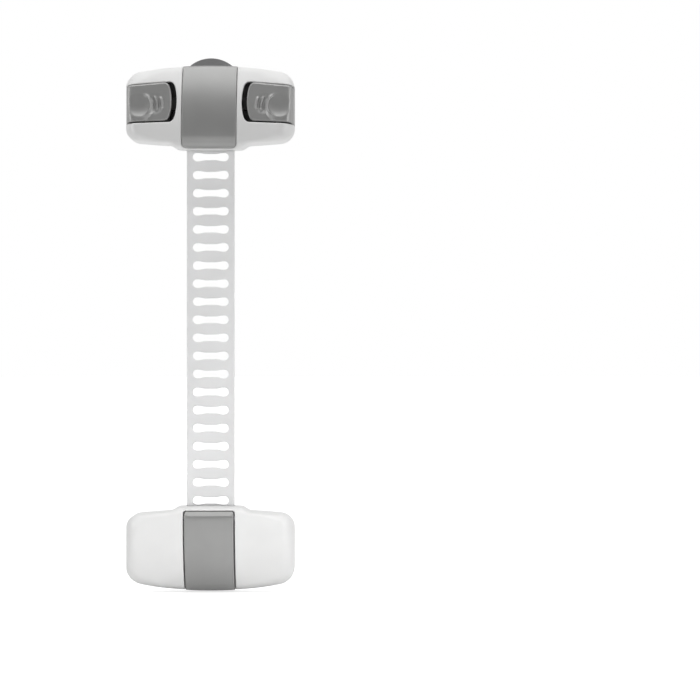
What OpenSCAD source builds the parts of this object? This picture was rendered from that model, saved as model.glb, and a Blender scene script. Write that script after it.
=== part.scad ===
// Cabinet safety lock: a latch pod that clips to a base plate on the door, a slotted strap, and an
// anchor pod with a flip cover. Sizes are in millimetres.
// The pieces are drawn flat, x to the right, y along the strap towards the latch and z out from the
// door, each pod about its own centre with its strap side at -y. Then the whole is stood upright:
// the adhesive faces lie on the plane y = 0 and the strap hangs along z.

/* [Pods] */
// Width of a pod across the door
pod_w = 60; // [57:1:70]
// Reach from a pod's centre to its outer edge, away from the strap
pod_outer_reach = 15.1; // [14.6:0.1:18]
// Reach from a pod's centre to its strap edge, beside the collar
pod_strap_reach = 13.6; // [13.2:0.1:16]
// Height of a pod's crown above the door
pod_depth = 17; // [16.4:0.1:20]
// Height of the front surface above the door at the outer edge
outer_edge_h = 8; // [7.8:0.1:9]
// Radius of the gently bowed outer edge
outer_edge_r = 152; // [110:1:300]
// Radius of the gently bowed strap edge
strap_edge_r = 271; // [150:1:400]
// Corner radius at the outer edge
outer_corner_r = 6.6; // [5:0.1:8]
// Corner radius at the strap edge
strap_corner_r = 5.5; // [5:0.1:7]
// Radius of the rounding between the front and the strap side
crown_r = 3.7; // [3.6:0.05:4.2]
// Radius of the rounding between the front and the pod's ends
end_r = 6.5; // [5:0.1:7]
// Wall of the housings
wall = 1.6; // [1.2:0.1:1.8]

/* [Collar] */
// Width of the collar's lip beyond each edge of the strap
collar_margin = 2.3; // [1.8:0.1:3]
// Depth of the collar beyond the strap edge
collar_depth = 1.45; // [1:0.05:2]
// Width over which the collar runs out into the strap edge
collar_blend = 3.7; // [2.5:0.1:5]

/* [Strap] */
// Width of the strap
strap_w = 17; // [15.5:0.05:17.4]
// Thickness of the strap
strap_t = 1.4; // [1.2:0.05:1.5]
// Distance from one slot to the next
slot_pitch = 6.45; // [5.8:0.05:7.2]
// Slots between the two pods
slot_count = 20; // [16:2:28]
// Length of a slot across the strap
slot_len = 12.8; // [11.5:0.1:13.5]
// Diameter of the round lobe at each end of a slot
lobe_d = 3; // [2.6:0.1:3.4]
// Height of a slot between its lobes
slot_neck = 2.35; // [1.6:0.05:2.5]
// Distance from the latch collar to the first slot
first_slot_gap = 2.22; // [1.8:0.02:4]
// Distance from the anchor collar to the last slot
last_slot_gap = 1.82; // [1.7:0.02:3]
// Radius of the eye at the strap's upper end
eye_r = 1.9; // [1.7:0.05:2]
// Distance of the eye from the middle of the windows, towards the outer edge
eye_offset = 3.5; // [3.4:0.1:4]
// Radius of the steel pins
pin_r = 1; // [0.8:0.05:1.1]

/* [Base plate and adhesive] */
// Thickness of the foam adhesive pads
pad_t = 1; // [0.8:0.1:1.2]
// Width of the adhesive pads
pad_w = 46; // [38:1:48]
// Height of the adhesive pads
pad_h = 19; // [16:0.5:20]
// Corner radius of the adhesive pads
pad_corner_r = 4; // [2:0.5:6]
// Thickness of the latch base plate
plate_t = 1.8; // [1.5:0.1:2]
// Set-back of the base plate from the pod's edge
plate_inset = 1.2; // [0.8:0.1:2]
// Radius of the round tab
tab_r = 11.8; // [9:0.1:13]
// Reach of the tab past the pod's outer edge
tab_reach = 3.2; // [1.5:0.1:4]

/* [Latch pod] */
// Gap between the base plate and the latch pod
pod_gap = 0.2; // [0.15:0.05:0.4]
// Thickness of the latch back cover
back_t = 1.4; // [1.2:0.1:1.6]
// Width of the grey band
band_w = 19.3; // [18:0.1:20.5]
// Thickness of the grey band
band_t = 1.2; // [0.9:0.1:1.3]
// White lip left between the band's end and the collar's edge
band_lip = 0.45; // [0.4:0.05:1.2]
// Height above the door at which the band ends on the outer side
band_foot = 4.6; // [4:0.1:6]
// Width of the rib between the springs
rib_w = 2.4; // [1.6:0.1:3]

/* [Buttons] */
// Distance from the pod's centre to the window's inner end, as a share of the pod's half width
window_share = 0.382; // [0.376:0.002:0.4]
// Distance from the pod's outer edge to the window's upper edge, at its inner end
window_outer_edge = 5.9; // [5.7:0.1:6.5]
// Distance from the pod's strap edge to the window's lower edge, at its inner end
window_strap_edge = 8.4; // [8.2:0.1:9]
// Fall of both window edges towards the pod's end, per unit of length
window_slant = 0.066; // [0:0.002:0.08]
// Depth of the bow of the window's inner end
window_bow = 1.2; // [0.6:0.1:1.6]
// Height above the door at which the window ends on the pod's end wall
window_sill = 6.5; // [6.3:0.1:7]
// Travel of a button
button_travel = 1.5; // [1.4:0.1:1.8]
// Gap between a button and its window
button_gap = 0.35; // [0.3:0.05:0.5]
// Set-back of a button below the pod's surface
button_recess = 0.15; // [0.1:0.05:0.4]
// Wall of the buttons
button_wall = 1.4; // [1.1:0.1:1.5]
// Radius of the finger dish in plan, as a share of the pod's half width
dish_share = 0.14; // [0.12:0.005:0.15]
// Depth of the finger dish
dish_depth = 0.6; // [0.3:0.05:0.7]
// Rim left between the dish and the pod's end
dish_rim = 0.4; // [0.2:0.1:1]
// Distance from one grip ridge to the next, as a share of the dish's radius
ridge_share = 0.5; // [0.43:0.01:0.55]
// Width of a grip ridge
ridge_w = 0.7; // [0.5:0.05:0.9]
// Height of a grip ridge
ridge_h = 0.3; // [0.15:0.05:0.3]

/* [Hooks and springs] */
// Distance from a button's inner end to its keeper's lip
lip_reach = 3.35; // [3.2:0.05:3.9]
// Overlap of a button's hook under its keeper's lip
hook_grip = 1; // [0.7:0.1:1.2]
// Play between a hook and its lip along the pull
hook_play = 0.3; // [0.2:0.05:0.35]
// Thickness of a hook and of a lip along the pull
hook_t = 1.2; // [1:0.1:1.25]
// Thickness of a keeper's wall
keeper_t = 1.5; // [1.2:0.1:1.8]
// Width of a keeper along the strap
keeper_w = 8; // [6:0.5:8.5]
// Thickness of a button's leg
leg_t = 1.8; // [1.4:0.1:2]
// Outer diameter of the springs
spring_d = 4; // [3.4:0.1:4.2]
// Wire diameter of the springs
spring_wire = 0.5; // [0.4:0.05:0.6]
// Coils of a spring
spring_coils = 7; // [5:0.5:8]

/* [Anchor pod] */
// Thickness of the anchor base
base_t = 2; // [1.6:0.1:2.2]
// Width of the flip cover
cover_w = 17.5; // [16.8:0.1:18]
// Thickness of the flip cover
cover_t = 1.6; // [1.2:0.1:2]
// White lip left between the flip cover's hinged end and the collar's edge
cover_lip = 1.2; // [1.1:0.05:1.6]
// Radius of the flip cover's hinged end
hinge_r = 2.6; // [2.2:0.1:2.7]
// Groove on each side of the flip cover
cover_gap = 0.4; // [0.3:0.05:0.6]
// Play of a stud in a slot's lobe, on the radius
stud_play = 0.4; // [0.25:0.05:0.5]
// Width of the rib under the cover that holds the strap down
clamp_w = 2.4; // [1.8:0.1:2.8]

/* [Screws] */
// Diameter of a screw's shank
screw_d = 2; // [1.8:0.1:2.2]
// Diameter of a screw's countersunk head
screw_head_d = 3.6; // [3.4:0.1:3.8]
// Length of a screw
screw_len = 7; // [6:0.5:7.5]
// Diameter of the bosses that the screws go into
boss_d = 4.2; // [4:0.1:4.4]
// Distance of the latch screws from the band's edge
latch_screw_gap = 2.55; // [2.3:0.05:3.5]
// Distance of the latch screws from the strap edge
latch_screw_edge = 4.1; // [4:0.1:4.4]
// Distance of the anchor screws from the pod's centre line
anchor_screw_x = 19; // [16:0.5:22]

/* [Hidden] */
$fn = 48;
// Small overlap that joins the solids of one piece
fuse = 0.2;
// Seam round the band, the back cover and the anchor base
seam = 0.1;
// Radial clearance of the hinge pin in the cover's barrel
pin_play = 0.05;
// Radial clearance of pins and screws where they are held
held_play = 0.02;
// Clearance round the strap where it passes through a wall
strap_play = 0.3;
// Clearance under the strap, where it lies on a back cover or a pedestal
strap_seat = 0.2;
// Clearance between moving pieces inside a pod
run_gap = 0.3;
// Clearance of a spring in its seat, on the radius
spring_play = 0.15;
// Offset of the springs from the middle of the hooks, towards the strap
spring_offset = 1;
// Overrun of the cutting shapes past what they cut
over = 1;
// Depth by which two turned shapes on one axis run into each other
lap = 0.01;
// Set-out of the side profile past the collar, whose plan shapes the edge itself
profile_out = 0.3;
// Rise of the end view's shoulders past the crown
shoulder_rise = 0.5;

half_w = pod_w / 2;
strap_edge = pod_strap_reach + collar_depth;
crown_y = -(strap_edge + profile_out) + crown_r;
crown_z = pod_depth - crown_r;
outer_fall = pod_depth - outer_edge_h;
outer_run = pod_outer_reach - crown_y;
front_r = (outer_run * outer_run + outer_fall * outer_fall) / (2 * outer_fall);

plate_top = pad_t + plate_t;
pod_back = plate_top + pod_gap;
back_top = pod_back + back_t;
strap_z0 = back_top + strap_seat;
strap_z1 = strap_z0 + strap_t;
strap_mid = (strap_z0 + strap_z1) / 2;
eye_z = strap_z0 + eye_r;
base_top = pad_t + base_t;
// Posts beside the strap's eye, which carry its pin
post_x = strap_w / 2 + strap_play;
post_t = 2.4;

collar_half_w = strap_w / 2 + collar_margin;
first_slot_y = -(strap_edge + first_slot_gap);
flex_y = first_slot_y - (slot_count - 1) / 2 * slot_pitch;
// The stretch that bends reaches two slots to each side of its middle
bend_half = 2 * slot_pitch;
pod_spacing = 2 * strap_edge + first_slot_gap + last_slot_gap + (slot_count - 1) * slot_pitch;
hidden_slots = 4;
tail_end = -pod_spacing + strap_edge + last_slot_gap - (hidden_slots + 0.5) * slot_pitch;
lobe_x = (slot_len - lobe_d) / 2;

// Skin of the housing under the band
band_bed = wall * 0.75;
skin_mid = band_t + seam + band_bed;
skin_mid_x = band_w / 2 + seam + band_bed;
window_x = window_share * half_w;
window_top = pod_outer_reach - window_outer_edge;
window_bottom = window_strap_edge - pod_strap_reach;
window_y = (window_top + window_bottom) / 2;
window_h = window_top - window_bottom;
cap_x = window_x + button_travel + button_gap;
eye_y = window_y + eye_offset;
// Strips that run under the housing's skin along the upper and lower edge of a button
flange_w = 0.9;
flange_x0 = cap_x + over;
flange_x1 = half_w - end_r + shoulder_rise;

// Clearance of a button's leg and hook from the keeper and the back cover
leg_clear = 0.4;
// Chamfer of the lips, on the side that the hooks come from
lip_chamfer = 0.4;
// Chamfer under the hooks
hook_chamfer = 0.8;
hook_y = window_y;
lip_x = cap_x + lip_reach;
hook_tip = lip_x + hook_grip;
keeper_x = hook_tip + leg_clear / 2;
hook_z0 = back_top + leg_clear;
hook_z1 = hook_z0 + hook_t;
lip_z0 = hook_z1 + hook_play;
lip_z1 = lip_z0 + hook_t;
keeper_top = lip_z1 + lip_chamfer;
cap_floor = keeper_top + leg_clear;
leg_x1 = lip_x - leg_clear;
leg_x0 = leg_x1 - leg_t;
leg_w = keeper_w - 2 * leg_clear;

spring_y = hook_y - spring_offset;
spring_r = spring_d / 2;
spring_seat_r = spring_r + spring_play;
spring_z = strap_z1 + strap_play + run_gap + spring_seat_r + rib_w / 4;
spring_x0 = rib_w / 2 + pin_play;
spring_x1 = cap_x - button_wall;
pilot_r = spring_r - spring_wire - leg_clear;
pilot_len = 1.8;

latch_screw_x = band_w / 2 + latch_screw_gap;
latch_screw_y = latch_screw_edge - pod_strap_reach;
hinge_y = -(strap_edge - cover_lip) + hinge_r;
hinge_z = pod_depth - hinge_r;
barrel_r = hinge_r - pin_play;
bay_half_w = cover_w / 2 + cover_gap;
cheek_half_w = bay_half_w + wall;
cover_foot = strap_z1 + 2 * strap_play;
stud_r = lobe_d / 2 - stud_play;
// Height of the studs above the strap
stud_rise = 0.7;
stud_top = strap_z1 + stud_rise;
stud_rows = [for (row = [2, 3]) -(strap_edge + last_slot_gap) + row * slot_pitch];
pedestal_half_w = slot_len / 2 + over;

white_plastic = [0.91, 0.91, 0.9];
grey_plastic = [0.53, 0.53, 0.52];
dark_plastic = [0.4, 0.4, 0.41];
clear_strap = [0.84, 0.85, 0.86];
foam_colour = [0.95, 0.95, 0.93];
steel_colour = [0.7, 0.7, 0.72];

function arc(cx, cy, r, a0, a1, n) =
    [for (i = [0:n]) let (a = a0 + (a1 - a0) * i / n) [cx + r * cos(a), cy + r * sin(a)]];

// Share of the collar's depth at a distance x from the centre line
function collar_share(x) =
    let (d = (abs(x) - collar_half_w) / collar_blend)
    d <= 0 ? 1 : d >= 1 ? 0 : (1 + cos(180 * d)) / 2;

// Plan outline of a pod, drawn in by inset, with its collar reaching depth past the strap edge
function pod_outline(inset, depth) = let (
    outer_cy = pod_outer_reach - outer_edge_r,
    outer_x = half_w - outer_corner_r,
    outer_y = outer_cy + sqrt(pow(outer_edge_r - outer_corner_r, 2) - outer_x * outer_x),
    outer_a = atan2(outer_y - outer_cy, outer_x),
    strap_cy = strap_edge_r - pod_strap_reach,
    strap_x = half_w - strap_corner_r,
    strap_y = strap_cy - sqrt(pow(strap_edge_r - strap_corner_r, 2) - strap_x * strap_x),
    strap_a = atan2(strap_y - strap_cy, strap_x),
    edge_r = strap_edge_r - inset,
    edge_x = edge_r * cos(strap_a),
    run_out = collar_half_w + collar_blend,
    half_xs = concat(
        [for (i = [0:8]) collar_half_w + collar_blend * i / 8],
        [for (i = [1:3]) run_out + (edge_x - run_out) * i / 4]
    ),
    count = len(half_xs),
    xs = concat([for (i = [1:count]) -half_xs[count - i]], [0], half_xs)
) concat(
    arc(outer_x, outer_y, outer_corner_r - inset, 0, outer_a, 8),
    [for (p = arc(0, outer_cy, outer_edge_r - inset, outer_a, 180 - outer_a, 12))
        if (abs(p[0]) < outer_x - over) p],
    arc(-outer_x, outer_y, outer_corner_r - inset, 180 - outer_a, 180, 8),
    arc(-strap_x, strap_y, strap_corner_r - inset, 180, 180 - strap_a, 8),
    [for (x = xs) [x, strap_cy - sqrt(edge_r * edge_r - x * x) - depth * collar_share(x)]],
    arc(strap_x, strap_y, strap_corner_r - inset, 360 + strap_a, 360, 8)
);

// Side profile of a pod as (y, z): a long arc from the outer edge to the crown, and the rounding there
function pod_profile(inset, back) = let (
    end_a = 90 - asin((outer_run + over) / front_r)
) concat(
    [[crown_y - crown_r + inset, back], [pod_outer_reach + over, back]],
    arc(crown_y, pod_depth - front_r, front_r - inset, end_a, 90, 16),
    [for (p = arc(crown_y, crown_z, crown_r - inset, 90, 180, 8)) if (p[0] < crown_y - lap) p]
);

// End view of a pod as (x, z): straight sides and a round shoulder at each end
function end_profile(inset, back) = let (
    shoulder_z = pod_depth + shoulder_rise - end_r
) concat(
    [[-half_w + inset, back], [half_w - inset, back]],
    arc(half_w - end_r, shoulder_z, end_r - inset, 0, 90, 8),
    arc(-half_w + end_r, shoulder_z, end_r - inset, 90, 180, 8)
);

// Solid of a pod, drawn in by inset on the front and sides, with a flat back
module pod_solid(inset = 0, back = pod_back, collar = 0) {
    intersection() {
        translate([0, 0, back])
            linear_extrude(pod_depth + over - back) polygon(pod_outline(inset, collar));
        rotate([90, 0, 90])
            linear_extrude(pod_w + 2 * over, center = true) polygon(pod_profile(inset, back - over));
        rotate([90, 0, 0])
            linear_extrude(4 * pod_outer_reach, center = true) polygon(end_profile(inset, back - over));
    }
}

module upright() {
    rotate([90, 0, 0]) children();
}

module at_anchor() {
    translate([0, -pod_spacing, 0]) mirror([0, 1, 0]) children();
}

module both_sides() {
    children();
    mirror([1, 0, 0]) children();
}

// Slab across the pod between x0 and x1, from z0 up
module slab(x0, x1, z0 = 0) {
    translate([x0, -2 * pod_outer_reach, z0])
        cube([x1 - x0, 4 * pod_outer_reach, pod_depth + over]);
}

module x_cylinder(r, x0, x1, y, z) {
    translate([x0, y, z]) rotate([0, 90, 0]) cylinder(r = r, h = x1 - x0);
}

// Outline in (x, z), extruded along y about the middle y
module y_prism(points, width, y) {
    translate([0, y, 0]) rotate([90, 0, 0]) linear_extrude(width, center = true) polygon(points);
}

module strap_passage(y0, y1) {
    half = strap_w / 2 + strap_play;
    translate([-half, y0, strap_z0 - strap_seat])
        cube([2 * half, y1 - y0, strap_t + strap_seat + strap_play]);
}

module screw_at(x, y, head_z) {
    r = screw_d / 2;
    head_r = screw_head_d / 2;
    head_h = head_r - r;
    cross_l = 0.6 * screw_head_d;
    cross_w = 0.2 * screw_d;
    translate([x, y, head_z]) difference() {
        union() {
            cylinder(r1 = head_r, r2 = r, h = head_h);
            translate([0, 0, head_h - lap]) cylinder(r = r, h = screw_len - head_h);
        }
        for (turn = [0, 90]) rotate([0, 0, turn])
            translate([-cross_l / 2, -cross_w / 2, -over]) cube([cross_l, cross_w, over + head_h / 2]);
    }
}

// Clearance hole and countersink for a screw in a plate whose back is at z0
module screw_hole(x, y, z0, thickness) {
    r = screw_d / 2 + seam;
    head_r = screw_head_d / 2 + seam;
    translate([x, y, z0 - over]) cylinder(r = r, h = thickness + 2 * over);
    translate([x, y, z0 - lap]) cylinder(r = head_r, h = seam + lap);
    translate([x, y, z0 + seam]) cylinder(r1 = head_r, r2 = r, h = head_r - r);
}

module pilot_hole(x, y, head_z) {
    translate([x, y, head_z]) cylinder(r = screw_d / 2 + held_play, h = screw_len + run_gap);
}

module adhesive_pad() {
    x = pad_w / 2 - pad_corner_r;
    y = pad_h / 2 - pad_corner_r;
    linear_extrude(pad_t) union() {
        square([pad_w, pad_h - 2 * pad_corner_r], center = true);
        square([pad_w - 2 * pad_corner_r, pad_h], center = true);
        for (sx = [-1, 1], sy = [-1, 1]) translate([sx * x, sy * y]) circle(pad_corner_r);
    }
}

module latch_adhesive_pad() {
    color(foam_colour) upright() adhesive_pad();
}

// Hook-shaped keeper on the right of the base plate
module keeper() {
    y_prism([
        [keeper_x, plate_top - fuse], [keeper_x + keeper_t, plate_top - fuse],
        [keeper_x + keeper_t, keeper_top], [keeper_x, keeper_top],
        [lip_x, lip_z1 - lip_chamfer], [lip_x, lip_z0], [keeper_x, lip_z0]
    ], keeper_w, hook_y);
}

module latch_base_plate() {
    tab_y = pod_outer_reach + tab_reach - tab_r;
    color(dark_plastic) upright() {
        translate([0, 0, pad_t]) linear_extrude(plate_t) union() {
            polygon(pod_outline(plate_inset, 0));
            translate([0, tab_y]) circle(tab_r, $fn = 96);
        }
        both_sides() keeper();
    }
}

// Plan of the right button window, drawn in by inset, with its inner end at inner_x
module window_plan(inset, inner_x) {
    end_x = half_w + over;
    fall = window_slant * (end_x - window_x);
    half_h = window_h / 2 - inset;
    steps = 16;
    inner = [for (i = [0:steps]) let (u = 1 - 2 * i / steps)
        [inner_x + window_bow * (u * u + pow(u, 10)), window_y + u * half_h]];
    polygon(concat([
        [end_x, window_y - half_h - fall], [end_x, window_y + half_h - fall]
    ], inner));
}

// Space that the band fills, grown by gap on every side
module band_space(gap) {
    strap_end = -(strap_edge - band_lip) - gap;
    tongue_z = crown_z + band_t;
    difference() {
        intersection() {
            difference() {
                pod_solid(0, band_foot - gap, collar_depth);
                pod_solid(band_t + gap, band_foot - over, collar_depth);
            }
            slab(-band_w / 2 - gap, band_w / 2 + gap);
            translate([-pod_w, strap_end, 0])
                cube([2 * pod_w, 3 * pod_outer_reach, pod_depth + over]);
        }
        translate([-pod_w, -2 * pod_outer_reach, 0])
            cube([2 * pod_w, 2 * pod_outer_reach + crown_y, tongue_z - gap]);
    }
}

module latch_cavity() {
    translate([0, 0, pod_back - over])
        linear_extrude(back_t + over + seam) polygon(pod_outline(wall, 0));
    pod_solid(skin_mid, pod_back - over);
    both_sides() intersection() {
        pod_solid(wall, pod_back - over);
        slab(skin_mid_x, pod_w);
    }
}

module latch_housing() {
    rib_z = strap_z1 + strap_play + run_gap;
    color(white_plastic) upright() difference() {
        union() {
            difference() {
                pod_solid(0, pod_back, collar_depth);
                latch_cavity();
                band_space(seam);
            }
            intersection() {
                pod_solid(skin_mid - fuse);
                translate([-rib_w / 2, spring_y - spring_seat_r, rib_z])
                    cube([rib_w, 2 * spring_seat_r, pod_depth]);
            }
            both_sides() x_cylinder(pilot_r, rib_w / 2 - fuse, rib_w / 2 + pilot_len, spring_y, spring_z);
            both_sides() intersection() {
                pod_solid(wall - fuse);
                translate([latch_screw_x, latch_screw_y, back_top + seam])
                    cylinder(d = boss_d, h = pod_depth);
            }
        }
        both_sides() translate([0, 0, window_sill])
            linear_extrude(pod_depth) window_plan(0, window_x);
        strap_passage(-strap_edge - over, -pod_strap_reach + skin_mid + over);
        both_sides() pilot_hole(latch_screw_x, latch_screw_y, pod_back + seam);
    }
}

module latch_back_cover() {
    color(dark_plastic) upright() difference() {
        union() {
            translate([0, 0, pod_back]) linear_extrude(back_t) polygon(pod_outline(wall + seam, 0));
            both_sides() {
                x_cylinder(eye_r, post_x, post_x + post_t, eye_y, eye_z);
                translate([post_x, eye_y - eye_r, back_top - fuse])
                    cube([post_t, 2 * eye_r, eye_z - back_top + fuse]);
            }
        }
        x_cylinder(pin_r + held_play, -pod_w, pod_w, eye_y, eye_z);
        both_sides() screw_hole(latch_screw_x, latch_screw_y, pod_back, back_t);
        both_sides() translate([lip_x - run_gap, hook_y - keeper_w / 2 - run_gap, 0])
            cube([keeper_x + keeper_t - lip_x + 2 * run_gap, keeper_w + 2 * run_gap, pod_depth]);
    }
}

module latch_band() {
    color(grey_plastic) upright() band_space(0);
}

module latch_screws() {
    color(steel_colour) upright() both_sides() screw_at(latch_screw_x, latch_screw_y, pod_back + seam);
}

module strap_pin() {
    half = post_x + post_t;
    color(steel_colour) upright() x_cylinder(pin_r, -half, half, eye_y, eye_z);
}

// Point on a spring's wire: u along its length from 0 to 1, v round the wire in degrees
function coil_point(u, v) = let (
    turn = 360 * spring_coils * u,
    mean_r = spring_r - spring_wire / 2,
    r = mean_r + spring_wire / 2 * cos(v),
    length = spring_x1 - spring_x0 - spring_wire - pin_play
) [
    spring_x0 + spring_wire / 2 + length * u + spring_wire / 2 * sin(v),
    spring_y + r * cos(turn),
    spring_z + r * sin(turn)
];

// Spring on the right side, along x
module spring() {
    rings = ceil(8 * spring_coils);
    sides = 6;
    points = [for (i = [0:rings], j = [0:sides - 1]) coil_point(i / rings, 360 * j / sides)];
    last = rings * sides;
    tube = [for (i = [0:rings - 1], j = [0:sides - 1], half = [0, 1]) let (
        a = i * sides + j,
        b = i * sides + (j + 1) % sides
    ) half == 0 ? [a, b, b + sides] : [a, b + sides, a + sides]];
    start_cap = [for (j = [1:sides - 2]) [0, j + 1, j]];
    end_cap = [for (j = [1:sides - 2]) [last, last + j, last + j + 1]];
    polyhedron(points, concat(tube, start_cap, end_cap));
}

module left_spring() {
    color(steel_colour) upright() mirror([1, 0, 0]) spring();
}

module right_spring() {
    color(steel_colour) upright() spring();
}

module button_skin() {
    intersection() {
        difference() {
            pod_solid(button_recess, window_sill + run_gap);
            pod_solid(button_recess + button_wall, 0);
        }
        linear_extrude(2 * pod_depth) window_plan(button_gap, cap_x);
    }
}

module button_walls() {
    intersection() {
        pod_solid(button_recess + fuse, cap_floor);
        linear_extrude(2 * pod_depth) difference() {
            window_plan(button_gap, cap_x);
            window_plan(button_gap + button_wall, cap_x + button_wall);
        }
    }
}

// Strips under the housing's skin that keep the button from coming out of its window
module button_flange() {
    intersection() {
        difference() {
            pod_solid(wall + run_gap, 0);
            pod_solid(wall + run_gap + button_wall, 0);
        }
        linear_extrude(2 * pod_depth) difference() {
            window_plan(-flange_w, cap_x - window_bow);
            window_plan(button_gap + button_wall / 2, cap_x - window_bow);
        }
        slab(flange_x0, flange_x1);
    }
}

module button_leg() {
    intersection() {
        pod_solid(button_recess + fuse, hook_z0);
        y_prism([
            [leg_x0, hook_z0], [leg_x1, hook_z0], [hook_tip, hook_z0 + hook_chamfer], [hook_tip, hook_z1],
            [leg_x1, hook_z1], [leg_x1, pod_depth], [leg_x0, pod_depth]
        ], leg_w, hook_y);
    }
}

module button_spring_seat() {
    translate([spring_x1, spring_y - spring_seat_r, spring_z - spring_seat_r])
        cube([cap_x + button_wall - spring_x1, 2 * spring_seat_r, 2 * spring_seat_r]);
    x_cylinder(pilot_r, spring_x1 - pilot_len, spring_x1 + fuse, spring_y, spring_z);
}

// Curved grip ridges beside the dish, following the button's surface
module button_ridges(dish_r, dish_x, dish_y) {
    half_angles = [62, 26, 14];
    ridge_pitch = ridge_share * dish_r;
    intersection() {
        difference() {
            pod_solid(button_recess - ridge_h, cap_floor);
            pod_solid(button_recess + button_wall / 2, 0);
        }
        translate([dish_x, dish_y]) for (i = [0:2]) {
            r = dish_r + ridge_w / 2 + i * ridge_pitch;
            rotate([0, 0, 180 - half_angles[i]])
                rotate_extrude(angle = 2 * half_angles[i]) translate([r - ridge_w / 2, 0])
                    square([ridge_w, 2 * pod_depth]);
        }
    }
}

module button() {
    dish_r = dish_share * half_w;
    dish_x = half_w - dish_r - dish_rim;
    dish_y = window_y - window_slant * (dish_x - window_x) / 2;
    dish_run = dish_y - crown_y;
    tilt = asin(dish_run / front_r);
    dish_z = pod_depth - front_r + (front_r - button_recess) * cos(tilt);
    ball_r = (dish_r * dish_r + dish_depth * dish_depth) / (2 * dish_depth);
    difference() {
        union() {
            button_skin();
            button_walls();
            button_flange();
            button_leg();
            button_spring_seat();
        }
        translate([dish_x, dish_y, dish_z]) rotate([-tilt, 0, 0])
            translate([0, 0, ball_r - dish_depth]) sphere(ball_r, $fn = 96);
    }
    button_ridges(dish_r, dish_x, dish_y);
}

module left_button() {
    color(grey_plastic) upright() mirror([1, 0, 0]) button();
}

module right_button() {
    color(grey_plastic) upright() button();
}

module slot_plan(y) {
    for (side = [-1, 1]) translate([side * lobe_x, y]) circle(d = lobe_d);
    translate([-lobe_x, y - slot_neck / 2]) square([2 * lobe_x, slot_neck]);
}

// Run of strap from y0 down to y1, with the slots whose numbers run from first to last
module strap_run(y0, y1, first, last) {
    translate([0, 0, strap_z0]) linear_extrude(strap_t) difference() {
        translate([-strap_w / 2, y1]) square([strap_w, y0 - y1]);
        for (i = [first:last]) slot_plan(first_slot_y - i * slot_pitch);
    }
}

module strap() {
    color(clear_strap) upright() difference() {
        union() {
            strap_run(eye_y, flex_y + bend_half, 0, slot_count / 2 - 3);
            x_cylinder(eye_r, -strap_w / 2, strap_w / 2, eye_y, eye_z);
        }
        x_cylinder(pin_r + pin_play, -pod_w, pod_w, eye_y, eye_z);
    }
}

module strap_bend() {
    color(clear_strap) upright()
        strap_run(flex_y + bend_half, flex_y - bend_half, slot_count / 2 - 2, slot_count / 2 + 1);
}

module strap_tail() {
    color(clear_strap) upright()
        strap_run(flex_y - bend_half, tail_end, slot_count / 2 + 2, slot_count + hidden_slots - 1);
}

// Open bay in the middle of the anchor pod, where the flip cover lies over the strap
module anchor_bay() {
    bay_y0 = -pod_strap_reach + wall;
    bay_y1 = pod_outer_reach - wall;
    translate([-bay_half_w, bay_y0, base_top])
        cube([2 * bay_half_w, bay_y1 - bay_y0, pod_depth]);
    translate([-bay_half_w, 0, cover_foot - seam])
        cube([2 * bay_half_w, 2 * pod_outer_reach, pod_depth]);
    x_cylinder(barrel_r + run_gap, -bay_half_w, bay_half_w, hinge_y, hinge_z);
    translate([-bay_half_w, hinge_y - barrel_r - run_gap, hinge_z])
        cube([2 * bay_half_w, barrel_r + run_gap, pod_depth]);
    strap_passage(-strap_edge - over, bay_y0 + over);
    strap_passage(bay_y1 - over, pod_outer_reach + over);
}

module anchor_housing() {
    color(white_plastic) upright() at_anchor() difference() {
        union() {
            difference() {
                pod_solid(0, pad_t, collar_depth);
                translate([0, 0, pad_t - over])
                    linear_extrude(base_t + over + seam) polygon(pod_outline(wall, 0));
                both_sides() intersection() {
                    pod_solid(wall, pad_t - over);
                    slab(cheek_half_w, pod_w);
                }
            }
            both_sides() intersection() {
                pod_solid(wall - fuse, pad_t);
                translate([anchor_screw_x, 0, base_top + seam]) cylinder(d = boss_d, h = pod_depth);
            }
        }
        anchor_bay();
        x_cylinder(pin_r + held_play, -cheek_half_w - over, cheek_half_w + over, hinge_y, hinge_z);
        both_sides() pilot_hole(anchor_screw_x, 0, pad_t + seam);
    }
}

module anchor_base() {
    pedestal_y = stud_rows[0] - lobe_d;
    pedestal_l = slot_pitch + 2 * lobe_d;
    pedestal_h = strap_z0 - strap_seat - base_top;
    color(white_plastic) upright() at_anchor() difference() {
        union() {
            translate([0, 0, pad_t]) linear_extrude(base_t) polygon(pod_outline(wall + seam, 0));
            translate([-pedestal_half_w, pedestal_y, base_top - fuse])
                cube([2 * pedestal_half_w, pedestal_l, pedestal_h + fuse]);
            for (y = stud_rows, side = [-1, 1]) translate([side * lobe_x, y, base_top])
                cylinder(r = stud_r, h = stud_top - base_top);
        }
        both_sides() screw_hole(anchor_screw_x, 0, pad_t, base_t);
    }
}

module anchor_adhesive_pad() {
    color(foam_colour) upright() at_anchor() adhesive_pad();
}

module anchor_screws() {
    color(steel_colour) upright() at_anchor() both_sides() screw_at(anchor_screw_x, 0, pad_t + seam);
}

module anchor_hinge_pin() {
    half = cheek_half_w - seam;
    color(steel_colour) upright() at_anchor() x_cylinder(pin_r, -half, half, hinge_y, hinge_z);
}

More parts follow.
